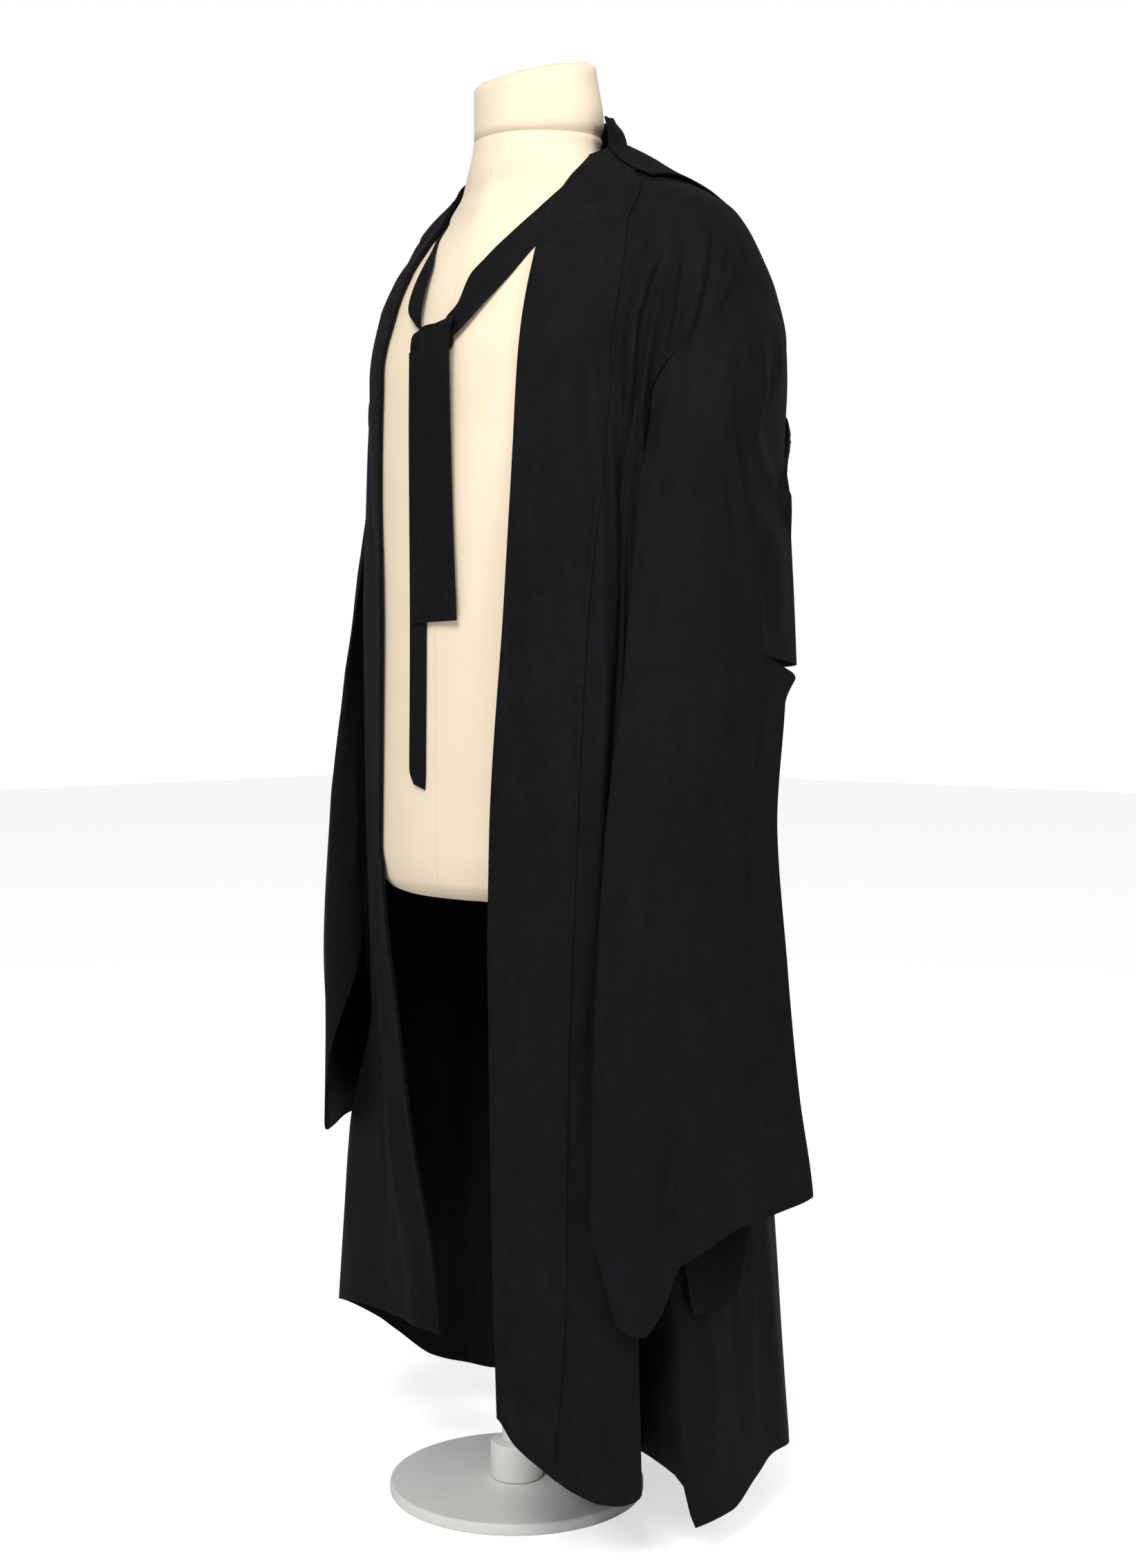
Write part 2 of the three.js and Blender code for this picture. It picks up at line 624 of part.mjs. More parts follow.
function upperSleevePoint(turn, row, right) {
  const side = right ? 'right' : 'left';
  const levels = SLEEVE_UPPER[side];
  const { point: start, way } = sleeveStart(turn, right);
  const end = sleeveLevel(levels, turn, FIRST_LEVEL, right);
  const elbow = ELBOW(turn);
  const split = 0.62;
  if (row > split) {
    return sleeveLevel(levels, turn, lerp(FIRST_LEVEL, elbow, (row - split) / (1 - split)), right);
  }
  const t = row / split;
  const span = start.distanceTo(end);
  const t2 = t * t;
  const t3 = t2 * t;
  const point = start.clone().multiplyScalar(2 * t3 - 3 * t2 + 1);
  point.addScaledVector(way, (t3 - 2 * t2 + t) * span);
  point.addScaledVector(end, 3 * t2 - 2 * t3);
  point.addScaledVector(new THREE.Vector3(0, 0, -1), (t3 - t2) * span);
  return point;
}

function lowerSleevePoint(turn, row, right) {
  const side = right ? 'right' : 'left';
  const top = ELBOW(turn) - ELBOW_GAPE(turn);
  return sleeveLevel(SLEEVE_LOWER[side], turn, lerp(top, SLEEVE_END[side](turn), row), right);
}

const SLEEVE_TURNS = steps(27, 0, 27 / 28);
const UPPER_SLEEVE_ROWS = [0, 0.08, 0.18, 0.3, 0.44, 0.62, 0.8, 1];
const LOWER_SLEEVE_ROWS = [0, 0.06, 0.16, 0.3, 0.45, 0.6, 0.75, 0.88, 1];

function sleeve(pointAt, rows, right) {
  const sheet = new Sheet();
  const turns = right ? [...SLEEVE_TURNS].reverse() : SLEEVE_TURNS;
  sheet.patch(turns, rows, (turn, row) => {
    const point = pointAt(turn, row, right);
    if (right) point.x *= -1;
    return point;
  }, true);
  return sheet.wall(CLOTH);
}

// The neck band stands round the back of the neck; the flap collar folds over it and lies on the back.
const COLLAR_CLEAR = CLOTH + 4.1;
const COLLAR_FROM = 106;
const COLLAR_TURNS = steps(22, COLLAR_FROM, 360 - COLLAR_FROM);
const COLLAR_ROWS = [0, 0.05, 0.1, 0.16, 0.22, 0.29, 0.37, 0.47, 0.6, 0.8, 1];

function surfaceNormal(angle, z) {
  const across = bodyPoint(angle + 0.5, z).sub(bodyPoint(angle - 0.5, z));
  const up = bodyPoint(angle, z + 1).sub(bodyPoint(angle, z - 1));
  return across.cross(up).normalize();
}

// The stiff collar bridges the body's folds: it follows the widest radius within this many degrees.
const COLLAR_BRIDGE = 13;

function collarRadius(angle, z) {
  return Math.max(...steps(12, -COLLAR_BRIDGE, COLLAR_BRIDGE).map((a) => (
    bodyRadius(clamp(angle + a, COLLAR_FROM, 360 - COLLAR_FROM), z)
  )));
}

function neckBandPoint(angle, row) {
  const base = bodyPoint(angle, neckline(angle) + SEAM + 1, 0.3);
  const rise = row * (COLLAR_STAND - 3);
  base.z += rise;
  const outward = new THREE.Vector3(Math.sin(angle * RAD), -Math.cos(angle * RAD), 0);
  return base.addScaledVector(outward, -row * 2);
}

// Lowest height of the collar at an angle: its square outline on the body
function collarEdgeZ(angle) {
  const reach = Math.abs(Math.sin(angle * RAD));
  let lo = COLLAR_BOTTOM;
  let hi = 1345;
  if (bodyRadius(angle, lo) * reach < COLLAR_HALF_WIDTH) return lo;
  for (let i = 0; i < 24; i += 1) {
    const z = (lo + hi) / 2;
    if (bodyRadius(angle, z) * reach > COLLAR_HALF_WIDTH) lo = z;
    else hi = z;
  }
  return lo;
}

function collarPoint(angle, row) {
  const top = neckline(angle);
  const z = lerp(top, collarEdgeZ(angle), row);
  const lift = (COLLAR_STAND + 1.5) * (1 - smooth(row * 2.2)) ** 1.5;
  const overFacing = clamp((Math.abs(angle - 180) - 50) / 10, 0, 1);
  const clear = COLLAR_CLEAR + overFacing * (CLOTH + LAYER_GAP);
  const outward = new THREE.Vector3(Math.sin(angle * RAD), -Math.cos(angle * RAD), 0);
  const spread = collarRadius(angle, z) - bodyRadius(angle, z);
  const point = bodyPoint(angle, z, spread).addScaledVector(surfaceNormal(angle, z), clear);
  point.z += lift;
  return point.addScaledVector(outward, lerp(2, 0, smooth(row * 4)));
}

// Ties. Each strap lies on the form: a row for each section with the angle and height of its edges
// and how far its inner face stands off the form.
const TIE_OFF = 1.3;
const LEFT_STRAP = [
  { top: [84, 1326], low: [76, 1292], off: TIE_OFF },
  { top: [70, 1309], low: [64, 1276], off: TIE_OFF },
  { top: [52, 1286], low: [56, 1258], off: TIE_OFF },
  { top: [37, 1264], low: [46, 1239], off: TIE_OFF + 0.5 },
  { top: [21, 1236], low: [36, 1214], off: TIE_OFF + 1.5 },
  { top: [13, 1216], low: [25, 1188], off: TIE_OFF + 4 },
  { top: [11.9, 1190], low: [13.2, 1158], off: TIE_OFF + 7 },
];
const RIGHT_STRAP = [
  { top: [-70, 1302], low: [-62, 1284], off: TIE_OFF },
  { top: [-56, 1288], low: [-47, 1268], off: TIE_OFF },
  { top: [-43, 1266], low: [-33, 1252], off: TIE_OFF + 0.5 },
  { top: [-34, 1247], low: [-24, 1238], off: TIE_OFF + 2 },
  { top: [-31, 1219], low: [-19.5, 1214], off: TIE_OFF + 4 },
  { top: [-26, 1190], low: [-15, 1186], off: TIE_OFF + 6 },
  { top: [-20, 1177], low: [-11.4, 1172], off: TIE_OFF + 7 },
];
const STRAP_SHARES = [0, 0.5, 1];

function onForm(angle, z, off) {
  const r = formRadius(angle, z - off * 0.7) + off;
  return new THREE.Vector3(r * Math.sin(angle * RAD), AXIS_Y - r * Math.cos(angle * RAD), z);
}

function formNormal(angle, z) {
  const across = onForm(angle + 1, z, 0).sub(onForm(angle - 1, z, 0));
  const up = onForm(angle, z + 2, 0).sub(onForm(angle, z - 2, 0));
  return across.cross(up).normalize();
}

function strap(rows, reversed) {
  const sheet = new Sheet();
  const along = steps((rows.length - 1) * 2, 0, rows.length - 1);
  const keys = rows.map((_, i) => i);
  const read = (pick) => curve(keys, rows.map(pick));
  const edges = {
    topAngle: read((r) => r.top[0]),
    topZ: read((r) => r.top[1]),
    lowAngle: read((r) => r.low[0]),
    lowZ: read((r) => r.low[1]),
    off: read((r) => r.off),
  };
  sheet.patch(reversed ? [...along].reverse() : along, STRAP_SHARES, (u, v) => {
    const angle = lerp(edges.topAngle(u), edges.lowAngle(u), v);
    const z = lerp(edges.topZ(u), edges.lowZ(u), v);
    return onForm(angle, z, 0).addScaledVector(formNormal(angle, z), edges.off(u));
  });
  return sheet.wall(CLOTH);
}

// A hanging tie end: a row for each level with the middle of its width, how much it widens there,
// how far forward it hangs and how much higher its right edge is than its left
const WIDE_END = [
  { z: 1181, x: 1.5, widen: -3, y: -109, slant: 4 },
  { z: 1174, x: 2.5, widen: -1, y: -117, slant: 3 },
  { z: 1158, x: 3.5, widen: -1, y: -121.2, slant: 0 },
  { z: 1080, x: 6, widen: 0, y: -122.6, slant: 0 },
  { z: 980, x: 7.5, widen: 3, y: -122.2, slant: 0 },
  { z: 884, x: 9, widen: 8, y: -121.4, slant: 2 },
];
const NARROW_END = [
  { z: 1146, x: -15.5, widen: 0, y: -119.2, slant: 0 },
  { z: 1060, x: -16.5, widen: 0, y: -119.2, slant: 0 },
  { z: 900, x: -16.5, widen: 0, y: -118.6, slant: 0 },
  { z: 745, x: -18.5, widen: 0, y: -118.4, slant: 0 },
  { z: 727, x: -16, widen: -7, y: -118.4, slant: -5 },
];

function tieEnd(rows, width, thickness) {
  const sheet = new Sheet();
  sheet.patch([0, 0.5, 1], rows.map((_, i) => i), (u, v) => {
    const row = rows[v];
    return new THREE.Vector3(row.x + (u - 0.5) * (width + row.widen), row.y, row.z + u * row.slant);
  });
  return sheet.wall(thickness);
}

// The knot: a soft squarish bead, rounded on every side
function knot() {
  const geometry = new THREE.SphereGeometry(1, 20, 12);
  const position = geometry.attributes.position;
  const point = new THREE.Vector3();
  for (let i = 0; i < position.count; i += 1) {
    point.fromBufferAttribute(position, i);
    const squared = point.toArray().map((v) => Math.sign(v) * Math.abs(v) ** 0.6);
    position.setXYZ(i, squared[0] * KNOT.halfWidth, squared[2] * KNOT.halfDepth, squared[1] * KNOT.halfHeight);
  }
  geometry.index.array.reverse();
  geometry.translate(KNOT.x, KNOT.y, KNOT.z);
  return geometry;
}
const KNOT = { halfWidth: 23, halfDepth: 5.8, halfHeight: 14, x: 2, y: -110.9, z: 1163 };

// The dress form: level rings from the rounded underside to the sloping neck cap
function formRing(z, turn) {
  const angle = turn * 360;
  const r = formRadius(angle, z);
  return new THREE.Vector3(r * Math.sin(angle * RAD), AXIS_Y - r * Math.cos(angle * RAD), z);
}

function dressForm() {
  const sides = 36;
  const heights = [614, 619, 632, 660, 740, 830, 920, 1010, 1090, 1150, 1196, 1235, 1266, 1292, 1315, 1333, 1348, 1366];
  const neckRows = [0.4, 0.8, 0.94, 1];
  const rings = heights.map((z) => steps(sides - 1, 0, 1 - 1 / sides).map((turn) => formRing(z, turn)));
  const neckTop = (y) => NECK_TOP_FRONT + (y + 30) * NECK_TOP_SLOPE;
  for (const row of neckRows) {
    const shrink = row > 0.9 ? lerp(1, 0.86, (row - 0.9) / 0.1) : 1;
    rings.push(steps(sides - 1, 0, 1 - 1 / sides).map((turn) => {
      const p = formRing(1400, turn);
      const x = p.x * shrink;
      const y = 30 + (p.y - 30) * shrink;
      return new THREE.Vector3(x, y, lerp(1366, neckTop(y), row));
    }));
  }
  const points = rings.flat();
  const triangles = [];
  for (let j = 0; j < rings.length - 1; j += 1) {
    for (let i = 0; i < sides; i += 1) {
      const k = (i + 1) % sides;
      const a = j * sides + i;
      const b = j * sides + k;
      const c = (j + 1) * sides + k;
      const d = (j + 1) * sides + i;
      triangles.push([a, b, c], [a, c, d]);
    }
  }
  const bottom = points.length;
  points.push(new THREE.Vector3(0, 0, FORM_BOTTOM));
  const top = points.length;
  points.push(new THREE.Vector3(0, 30, neckTop(30) + 5));
  const last = (rings.length - 1) * sides;
  for (let i = 0; i < sides; i += 1) {
    const k = (i + 1) % sides;
    triangles.push([bottom, k, i], [top, last + i, last + k]);
  }
  return toGeometry(points, triangles);
}

function disc(radius, height, bottom, sides) {
  const geometry = new THREE.CylinderGeometry(radius, radius, height, sides);
  geometry.rotateX(Math.PI / 2);
  geometry.translate(0, 0, bottom + height / 2);
  return geometry;
}

const CLOTH_LOOK = { color: 0x161616, roughness: 0.85, metalness: 0 };
const FORM_LOOK = { color: 0xf2dfc0, roughness: 0.9, metalness: 0 };
const STAND_LOOK = { color: 0xe9e7e2, roughness: 0.45, metalness: 0 };

const robe = new THREE.Group();
robe.name = 'judge_robe_on_dress_form';

function piece(name, geometry, look) {
  const mesh = new THREE.Mesh(geometry, new THREE.MeshStandardMaterial(look));
  mesh.name = name;
  robe.add(mesh);
}

for (const [name, right] of [['left', false], ['right', true]]) {
  const front = frontPanel(right);
  piece(`${name}_front`, front.sheet.wall(CLOTH), CLOTH_LOOK);
  piece(`${name}_facing`, front.facing.wall(CLOTH), CLOTH_LOOK);
  piece(`${name}_sleeve_upper`, sleeve(upperSleevePoint, UPPER_SLEEVE_ROWS, right), CLOTH_LOOK);
  piece(`${name}_sleeve_lower`, sleeve(lowerSleevePoint, LOWER_SLEEVE_ROWS, right), CLOTH_LOOK);
}
piece('back_panel', backPanel().wall(CLOTH), CLOTH_LOOK);

const collar = new Sheet();
collar.patch(COLLAR_TURNS, COLLAR_ROWS, collarPoint);
piece('flap_collar', collar.wall(BAND_CLOTH), CLOTH_LOOK);
const neckBand = new Sheet();
neckBand.patch(COLLAR_TURNS, [0, 0.5, 1], neckBandPoint);
piece('neck_band', neckBand.wall(CLOTH), CLOTH_LOOK);

piece('tie_left_strap', strap(LEFT_STRAP, true), CLOTH_LOOK);
piece('tie_right_strap', strap(RIGHT_STRAP, false), CLOTH_LOOK);
piece('tie_knot', knot(), CLOTH_LOOK);
piece('tie_wide_end', tieEnd(WIDE_END, TIE_WIDE, BAND_CLOTH), CLOTH_LOOK);
piece('tie_narrow_end', tieEnd(NARROW_END, TIE_NARROW, CLOTH), CLOTH_LOOK);

piece('dress_form', dressForm(), FORM_LOOK);
piece('stand_base', disc(BASE_RADIUS, BASE_HEIGHT, 0, 48), STAND_LOOK);
piece('stand_socket', disc(SOCKET_RADIUS, SOCKET_HEIGHT, BASE_HEIGHT + SEAM, 32), STAND_LOOK);
piece('stand_pole', disc(POLE_RADIUS, FORM_BOTTOM - BASE_HEIGHT - SOCKET_HEIGHT - SEAM * 3,
  BASE_HEIGHT + SOCKET_HEIGHT + SEAM * 2, 24), STAND_LOOK);

export default robe;
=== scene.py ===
"""Judge robe worn on a limbless dress form: cloth, form, stand and studio.

The wearer faces -Y and the wearer's left is +X. Sizes in the tables are millimetres; Blender's are metres.
"""
import math

import bmesh
import bpy
import numpy as np
from bpy.props import FloatProperty, FloatVectorProperty, PointerProperty
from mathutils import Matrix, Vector


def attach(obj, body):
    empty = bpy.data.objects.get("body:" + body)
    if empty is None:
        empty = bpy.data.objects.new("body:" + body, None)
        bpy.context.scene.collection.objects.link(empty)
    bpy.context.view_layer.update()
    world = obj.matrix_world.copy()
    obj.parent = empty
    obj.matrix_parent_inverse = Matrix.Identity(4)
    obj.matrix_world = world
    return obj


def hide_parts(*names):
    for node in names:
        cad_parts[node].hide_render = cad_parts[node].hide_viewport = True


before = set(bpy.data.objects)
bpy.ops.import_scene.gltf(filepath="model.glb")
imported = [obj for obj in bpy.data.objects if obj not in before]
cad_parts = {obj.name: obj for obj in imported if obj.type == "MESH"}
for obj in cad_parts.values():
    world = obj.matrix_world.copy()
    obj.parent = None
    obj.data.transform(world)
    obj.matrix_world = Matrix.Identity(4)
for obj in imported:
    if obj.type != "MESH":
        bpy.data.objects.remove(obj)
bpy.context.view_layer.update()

bl_info = {
    "name": "Judge robe on a dress form",
    "version": (1, 0, 0),
    "blender": (4, 5, 0),
    "location": "View3D > Sidebar > Robe",
    "description": "Builds the robe's cloth, its dress form and stand, and the studio",
    "category": "Add Mesh",
}

MM = 0.001
RAD = math.pi / 180

# Sizes shared with the solids
CLOTH = 1.6
BAND_CLOTH = 2.0
SEAM = 0.3
# Sewn panels overlap by a hair, so that no light shows between them
SEWN = -0.05
# Space between two layers of cloth that lie on each other
LAYER_GAP = 0.35
TIE_WIDE = 54
TIE_NARROW = 23
COLLAR_HALF_WIDTH = 157
COLLAR_BOTTOM = 1128
FORM_BOTTOM = 614
NECK_TOP_FRONT = 1421
NECK_TOP_SLOPE = 0.28
POLE_RADIUS = 15
BASE_RADIUS = 130
BASE_HEIGHT = 12
SOCKET_RADIUS = 27
SOCKET_HEIGHT = 38
# The gown's own axis stands this far behind the pole's
AXIS_Y = 20
ARMHOLE_FRONT = 80
ARMHOLE_BACK = 134
SIDE_SEAM = 108
ARMHOLE_CORNER_Z = 1096
ARMHOLE_TOP_Z = 1200
UNDERARM_Z = 1010
NECK_SIDE_Z = 1355
NECK_BACK_Z = 1366


def lerp(a, b, t):
    """From a to b as t goes from 0 to 1."""
    return a + (b - a) * t


def smooth(t):
    """An eased step from 0 to 1 as t goes from 0 to 1."""
    c = np.clip(t, 0, 1)
    return c * c * (3 - 2 * c)


def curve(keys, values):
    """A smooth curve through a column of values, or several at once, with no overshoot between its rows."""
    k = np.array(keys, float)
    v = np.array(values, float)
    many = v.ndim > 1
    h = np.diff(k)[:, None] if many else np.diff(k)
    slope = np.diff(v, axis=0) / h
    tangent = np.zeros_like(v)
    tangent[0], tangent[-1] = slope[0], slope[-1]
    product = slope[:-1] * slope[1:]
    total = slope[:-1] + slope[1:]
    tangent[1:-1] = np.where(product <= 0, 0, 2 * product / np.where(total == 0, 1, total))

    def at(x):
        x = np.clip(np.asarray(x, float), k[0], k[-1])
        i = np.clip(np.searchsorted(k, x) - 1, 0, len(k) - 2)
        span = k[i + 1] - k[i]
        t = (x - k[i]) / span
        if many:
            span, t = span[..., None], t[..., None]
        t2, t3 = t * t, t * t * t
        return ((2 * t3 - 3 * t2 + 1) * v[i] + (t3 - 2 * t2 + t) * span * tangent[i]
                + (3 * t2 - 2 * t3) * v[i + 1] + (t3 - t2) * span * tangent[i + 1])

    return at


def table(columns, rows):
    """Rows under named columns; the first is the key. Gives one curve for each other column."""
    rows = sorted(rows)
    keys = [row[0] for row in rows]
    return {name: curve(keys, [row[i + 1] for row in rows]) for i, name in enumerate(columns.split()[1:])}


# Level sections of the dress form
FORM = table("z width front back middle power", [
    (614, 136, 92, 90, 0, 2.0),
    (619, 149, 104, 101, 0, 2.0),
    (632, 158, 113, 110, 0, 2.0),
    (660, 161, 116, 114, 0, 2.1),
    (770, 156, 116, 108, 0, 2.1),
    (890, 150, 116, 104, 0, 2.1),
    (1010, 160, 118, 106, 2, 2.1),
    (1130, 172, 118, 108, 8, 2.1),
    (1196, 178, 106, 98, 16, 2.0),
    (1235, 176, 100, 84, 24, 1.75),
    (1266, 166, 96, 68, 34, 1.5),
    (1292, 144, 92, 54, 42, 1.35),
    (1315, 110, 80, 48, 42, 1.5),
    (1333, 84, 74, 48, 38, 1.8),
    (1348, 70, 68, 50, 34, 2.0),
    (1366, 65, 64, 54, 32, 2.0),
    (1450, 62, 61, 56, 29, 2.0),
])


def form_radius(angle, z):
    """How far the form's surface stands from the axis at an angle and a height."""
    angle, z = np.broadcast_arrays(np.asarray(angle, float), np.asarray(z, float))
    s, c = np.sin(angle * RAD), np.cos(angle * RAD)
    width, middle, power = FORM["width"](z), FORM["middle"](z), FORM["power"](z)
    front, back = FORM["front"](z), FORM["back"](z)
    lo, hi = np.zeros_like(z), np.full_like(z, 260.0)
    for _ in range(24):
        r = (lo + hi) / 2
        y = AXIS_Y - r * c - middle
        depth = np.where(y < 0, front, back)
        p = np.where(y < 0, power, 2)
        inside = np.abs(r * s / width) ** p + np.abs(y / depth) ** p < 1
        lo, hi = np.where(inside, r, lo), np.where(inside, hi, r)
    return np.where(z < FORM_BOTTOM - 2, 0, lo)


# Radius of the gown's body: rows by height, columns by the angles named here
BODY_ANGLES = np.array([30, 45, 60, 70, 80, 95, 110, 125, 140, 160, 180,
                        200, 220, 235, 250, 265, 275, 280, 290, 300, 315, 328], float)
BODY_ROWS = [
    (30, 222, 255, 262, 262, 262, 258, 262, 268, 266, 258, 248,
     242, 232, 228, 245, 278, 284, 256, 150, 118, 84, 80),
    (230, 208, 236, 252, 250, 244, 240, 240, 250, 256, 248, 240,
     242, 234, 222, 235, 262, 266, 242, 172, 135, 101, 92),
    (340, 198, 222, 240, 236, 228, 225, 228, 242, 250, 243, 235,
     240, 238, 225, 222, 245, 254, 236, 180, 148, 120, 110),
    (480, 185, 205, 228, 224, 212, 210, 218, 235, 245, 238, 228,
     236, 240, 228, 215, 215, 217, 206, 182, 160, 138, 126),
    (600, 176, 196, 220, 218, 208, 206, 216, 233, 243, 235, 224,
     234, 242, 231, 215, 207, 206, 200, 185, 170, 150, 147),
    (700, 168, 188, 212, 214, 206, 205, 215, 232, 242, 232, 220,
     232, 242, 232, 215, 205, 200, 196, 185, 174, 155, 150),
    (900, 158, 175, 205, 212, 208, 212, 225, 240, 245, 228, 214,
     228, 245, 240, 225, 212, 204, 200, 188, 175, 155, 149),
    (1000, 150, 165, 195, 205, 205, 215, 235, 250, 250, 226, 210,
     226, 248, 250, 235, 215, 204, 198, 185, 172, 154, 149),
    (1096, 140, 152, 175, 188, 193, 225, 245, 256, 252, 222, 205,
     222, 252, 256, 244, 222, 202, 193, 180, 168, 150, 148),
    (1161, 0, 135, 156, 168, 191, 232, 250, 258, 248, 218, 200,
     218, 248, 258, 248, 226, 204, 191, 168, 152, 135, 126),
    (1210, 0, 118, 140, 160, 184, 226, 244, 248, 236, 208, 192,
     208, 236, 248, 242, 222, 200, 186, 160, 138, 116, 0),
    (1245, 0, 100, 122, 140, 162, 215, 234, 233, 220, 195, 180,
     195, 220, 233, 234, 212, 180, 160, 138, 118, 100, 0),
    (1284, 0, 0, 90, 105, 122, 190, 212, 210, 198, 173, 156,
     173, 198, 210, 212, 190, 140, 120, 100, 90, 0, 0),
    (1303, 0, 0, 0, 80, 108, 162, 186, 186, 176, 154, 140,
     154, 176, 186, 186, 162, 124, 108, 80, 0, 0, 0),
    (1330, 0, 0, 0, 0, 72, 108, 130, 132, 126, 114, 108,
     114, 126, 132, 130, 108, 80, 72, 0, 0, 0, 0),
    (1352, 0, 0, 0, 0, 0, 80, 90, 90, 88, 86, 84,
     86, 88, 90, 90, 80, 40, 0, 0, 0, 0, 0),
    (1390, 0, 0, 0, 0, 0, 74, 76, 76, 76, 72, 70,
     72, 76, 76, 76, 74, 0, 0, 0, 0, 0, 0),
]
BODY = curve([row[0] for row in BODY_ROWS], [row[1:] for row in BODY_ROWS])

# Folds of the body: middle angle, half width in degrees, depth outwards, top height and full height
BODY_FOLDS = [
    (63, 4, 5, 1290, 1150),
    (71, 4, -7, 1120, 1000),
    (73.5, 5.5, -88, 420, 60),
    (118, 9, 6, 700, 200),
    (142, 8, -12, 1290, 900),
    (156, 7, 9, 1250, 800),
    (170, 8, -14, 1270, 860),
    (185, 8, 10, 1230, 780),
    (199, 7, -13, 1280, 900),
    (214, 8, 9, 1250, 820),
    (228, 7, -11, 1280, 880),
    (242, 7, 8, 700, 220),
    (305, 7, 5, 560, 320),
]
# Where the body rests on the form it stands off by these
REST_RISE = 2.6
REST_OUT = 3.7
# Usual radius of the body, which turns degrees into millimetres of cloth
BODY_RADIUS = 215

# Soft creases of the body's cloth. Each runs through places given as angle and height, with its half
# width and depth in millimetres; lean -1 or 1 makes its side towards lower or higher angles steep.
BODY_CREASES = [
    ([(93.5, 1294), (84, 1245), (78.5, 1212), (75, 1173), (73, 1120), (70.5, 1040)], 8, 15, -1),
    ([(89, 1283), (85, 1252), (78.6, 1212), (74.6, 1172), (72.4, 1110)], 6, -9, 0),
    ([(271, 1283), (275, 1252), (281.4, 1212), (285.4, 1172), (287.6, 1110)], 6, -7, 0),
    ([(94, 1298), (89, 1262), (82.5, 1200), (79.4, 1155), (76, 1080), (73.2, 1000), (71.8, 860),
      (69.5, 700)], 7, 9, -1),
    ([(79.5, 1150), (75, 1080), (70.5, 1000), (68.6, 860), (66.2, 750), (63, 620), (61, 540),
      (57.5, 380)], 5, -6, 1),
    ([(97, 1284), (91, 1215), (86, 1140), (84, 1114)], 6, 6, -1),
    ([(92, 1262), (87.5, 1190), (84, 1112)], 5, -4, 0),
    ([(101, 1272), (95, 1215), (90, 1150)], 6, 4, -1),
    ([(98.5, 1262), (93.5, 1200), (88.5, 1140)], 5, -3.4, 0),
    ([(103.5, 1250), (98, 1205), (93.5, 1168)], 5, 3.4, 0),
    ([(106, 1262), (104.5, 1222), (103, 1193)], 6, -2.2, 0),
    ([(62, 1000), (60.5, 870), (58.5, 700), (57, 560)], 9, 1.6, 0),
    ([(45, 1120), (44, 1000), (45, 860), (44, 700)], 14, 1.6, 0),
    ([(40, 980), (38, 880), (39, 760)], 10, -1.4, 0),
    ([(50, 620), (46, 500), (47, 380), (44, 250)], 14, 1.8, 0),
    ([(58, 420), (60, 300), (59, 190), (62, 90)], 11, 3, 0),
    ([(92, 330), (89, 240), (90, 150), (87, 60)], 14, 2, 0),
    ([(100, 360), (98.5, 250), (99, 150), (98, 60)], 14, -2, 0),
    ([(112, 420), (111.5, 270), (107, 180), (104, 75)], 14, 2.2, 0),
    ([(78.4, 240), (77.6, 160), (78.2, 80)], 5, 6, 0),
    ([(266.5, 1294), (276, 1245), (281.5, 1212), (285, 1173), (287, 1120), (289.5, 1040)], 8, 9, 1),
    ([(266, 1300), (270.5, 1262), (276.5, 1200), (279, 1155), (284, 1060), (287, 900),
      (289, 700)], 7, 5, 1),
    ([(280.5, 1150), (285, 1080), (288.5, 1000), (291, 860), (292, 700)], 5, -5, -1),
    ([(263, 1284), (269, 1215), (274, 1140), (276, 1118)], 6, 3.2, 1),
    ([(268, 1262), (272.5, 1190), (276, 1112)], 5, -3.2, 0),
    ([(259, 1272), (265, 1215), (269.5, 1160)], 6, 2.6, 1),
    ([(254, 1262), (255.5, 1222), (257, 1193)], 6, -2.2, 0),
    ([(306.5, 640), (306, 530), (305.5, 450), (303, 330), (300, 200)], 9, 4, 0),
    ([(298, 560), (296, 430), (293, 300), (291, 190)], 10, -4, 0),
    ([(322, 560), (324, 440), (326, 330)], 8, 3, 0),
    ([(313, 420), (314, 320), (312, 230)], 9, -2.5, 0),
    ([(284, 420), (281, 300), (279, 190)], 9, 4, 0),
    ([(272, 380), (270, 280), (266, 160)], 9, -5, 0),
    ([(148, 1120), (150, 960), (148, 760), (150, 520)], 8, 4, 1),
    ([(163, 1120), (164.5, 930), (162, 700), (164, 480)], 8, -3.5, 0),
    ([(177, 1110), (176, 900), (178.5, 700), (177, 450)], 7, 4, -1),
    ([(193, 1110), (191, 930), (193, 720), (192, 500)], 8, 3.5, 1),
    ([(207, 1120), (208.5, 950), (206, 760), (208, 520)], 7, -4, 0),
    ([(221, 1120), (220, 940), (222, 730), (220, 480)], 8, 4, -1),
    ([(236, 900), (238, 700), (236, 480), (238, 250)], 9, 4, 0),
    ([(126, 980), (124, 800), (127, 600), (125, 400), (128, 200)], 10, 5, 0),
    ([(135, 1080), (133, 900), (136, 700), (134, 450), (137, 180)], 9, -4.5, 0),
    ([(152, 420), (154, 300), (151, 160), (153, 60)], 10, 5, 0),
    ([(171, 430), (169, 280), (172, 150), (170, 60)], 11, -5, 0),
    ([(188, 440), (190, 300), (187, 160), (189, 60)], 10, 5, 0),
    ([(203, 420), (201, 280), (204, 140), (202, 60)], 10, -5, 0),
]

# A crease's width on its steep side and what leaning adds on the other, both as shares of its half width
STEEP_SIDE = 0.4
GENTLE_SIDE = 0.9
# How fast a crease rises and dies away along its length
CREASE_FADE = 3.2


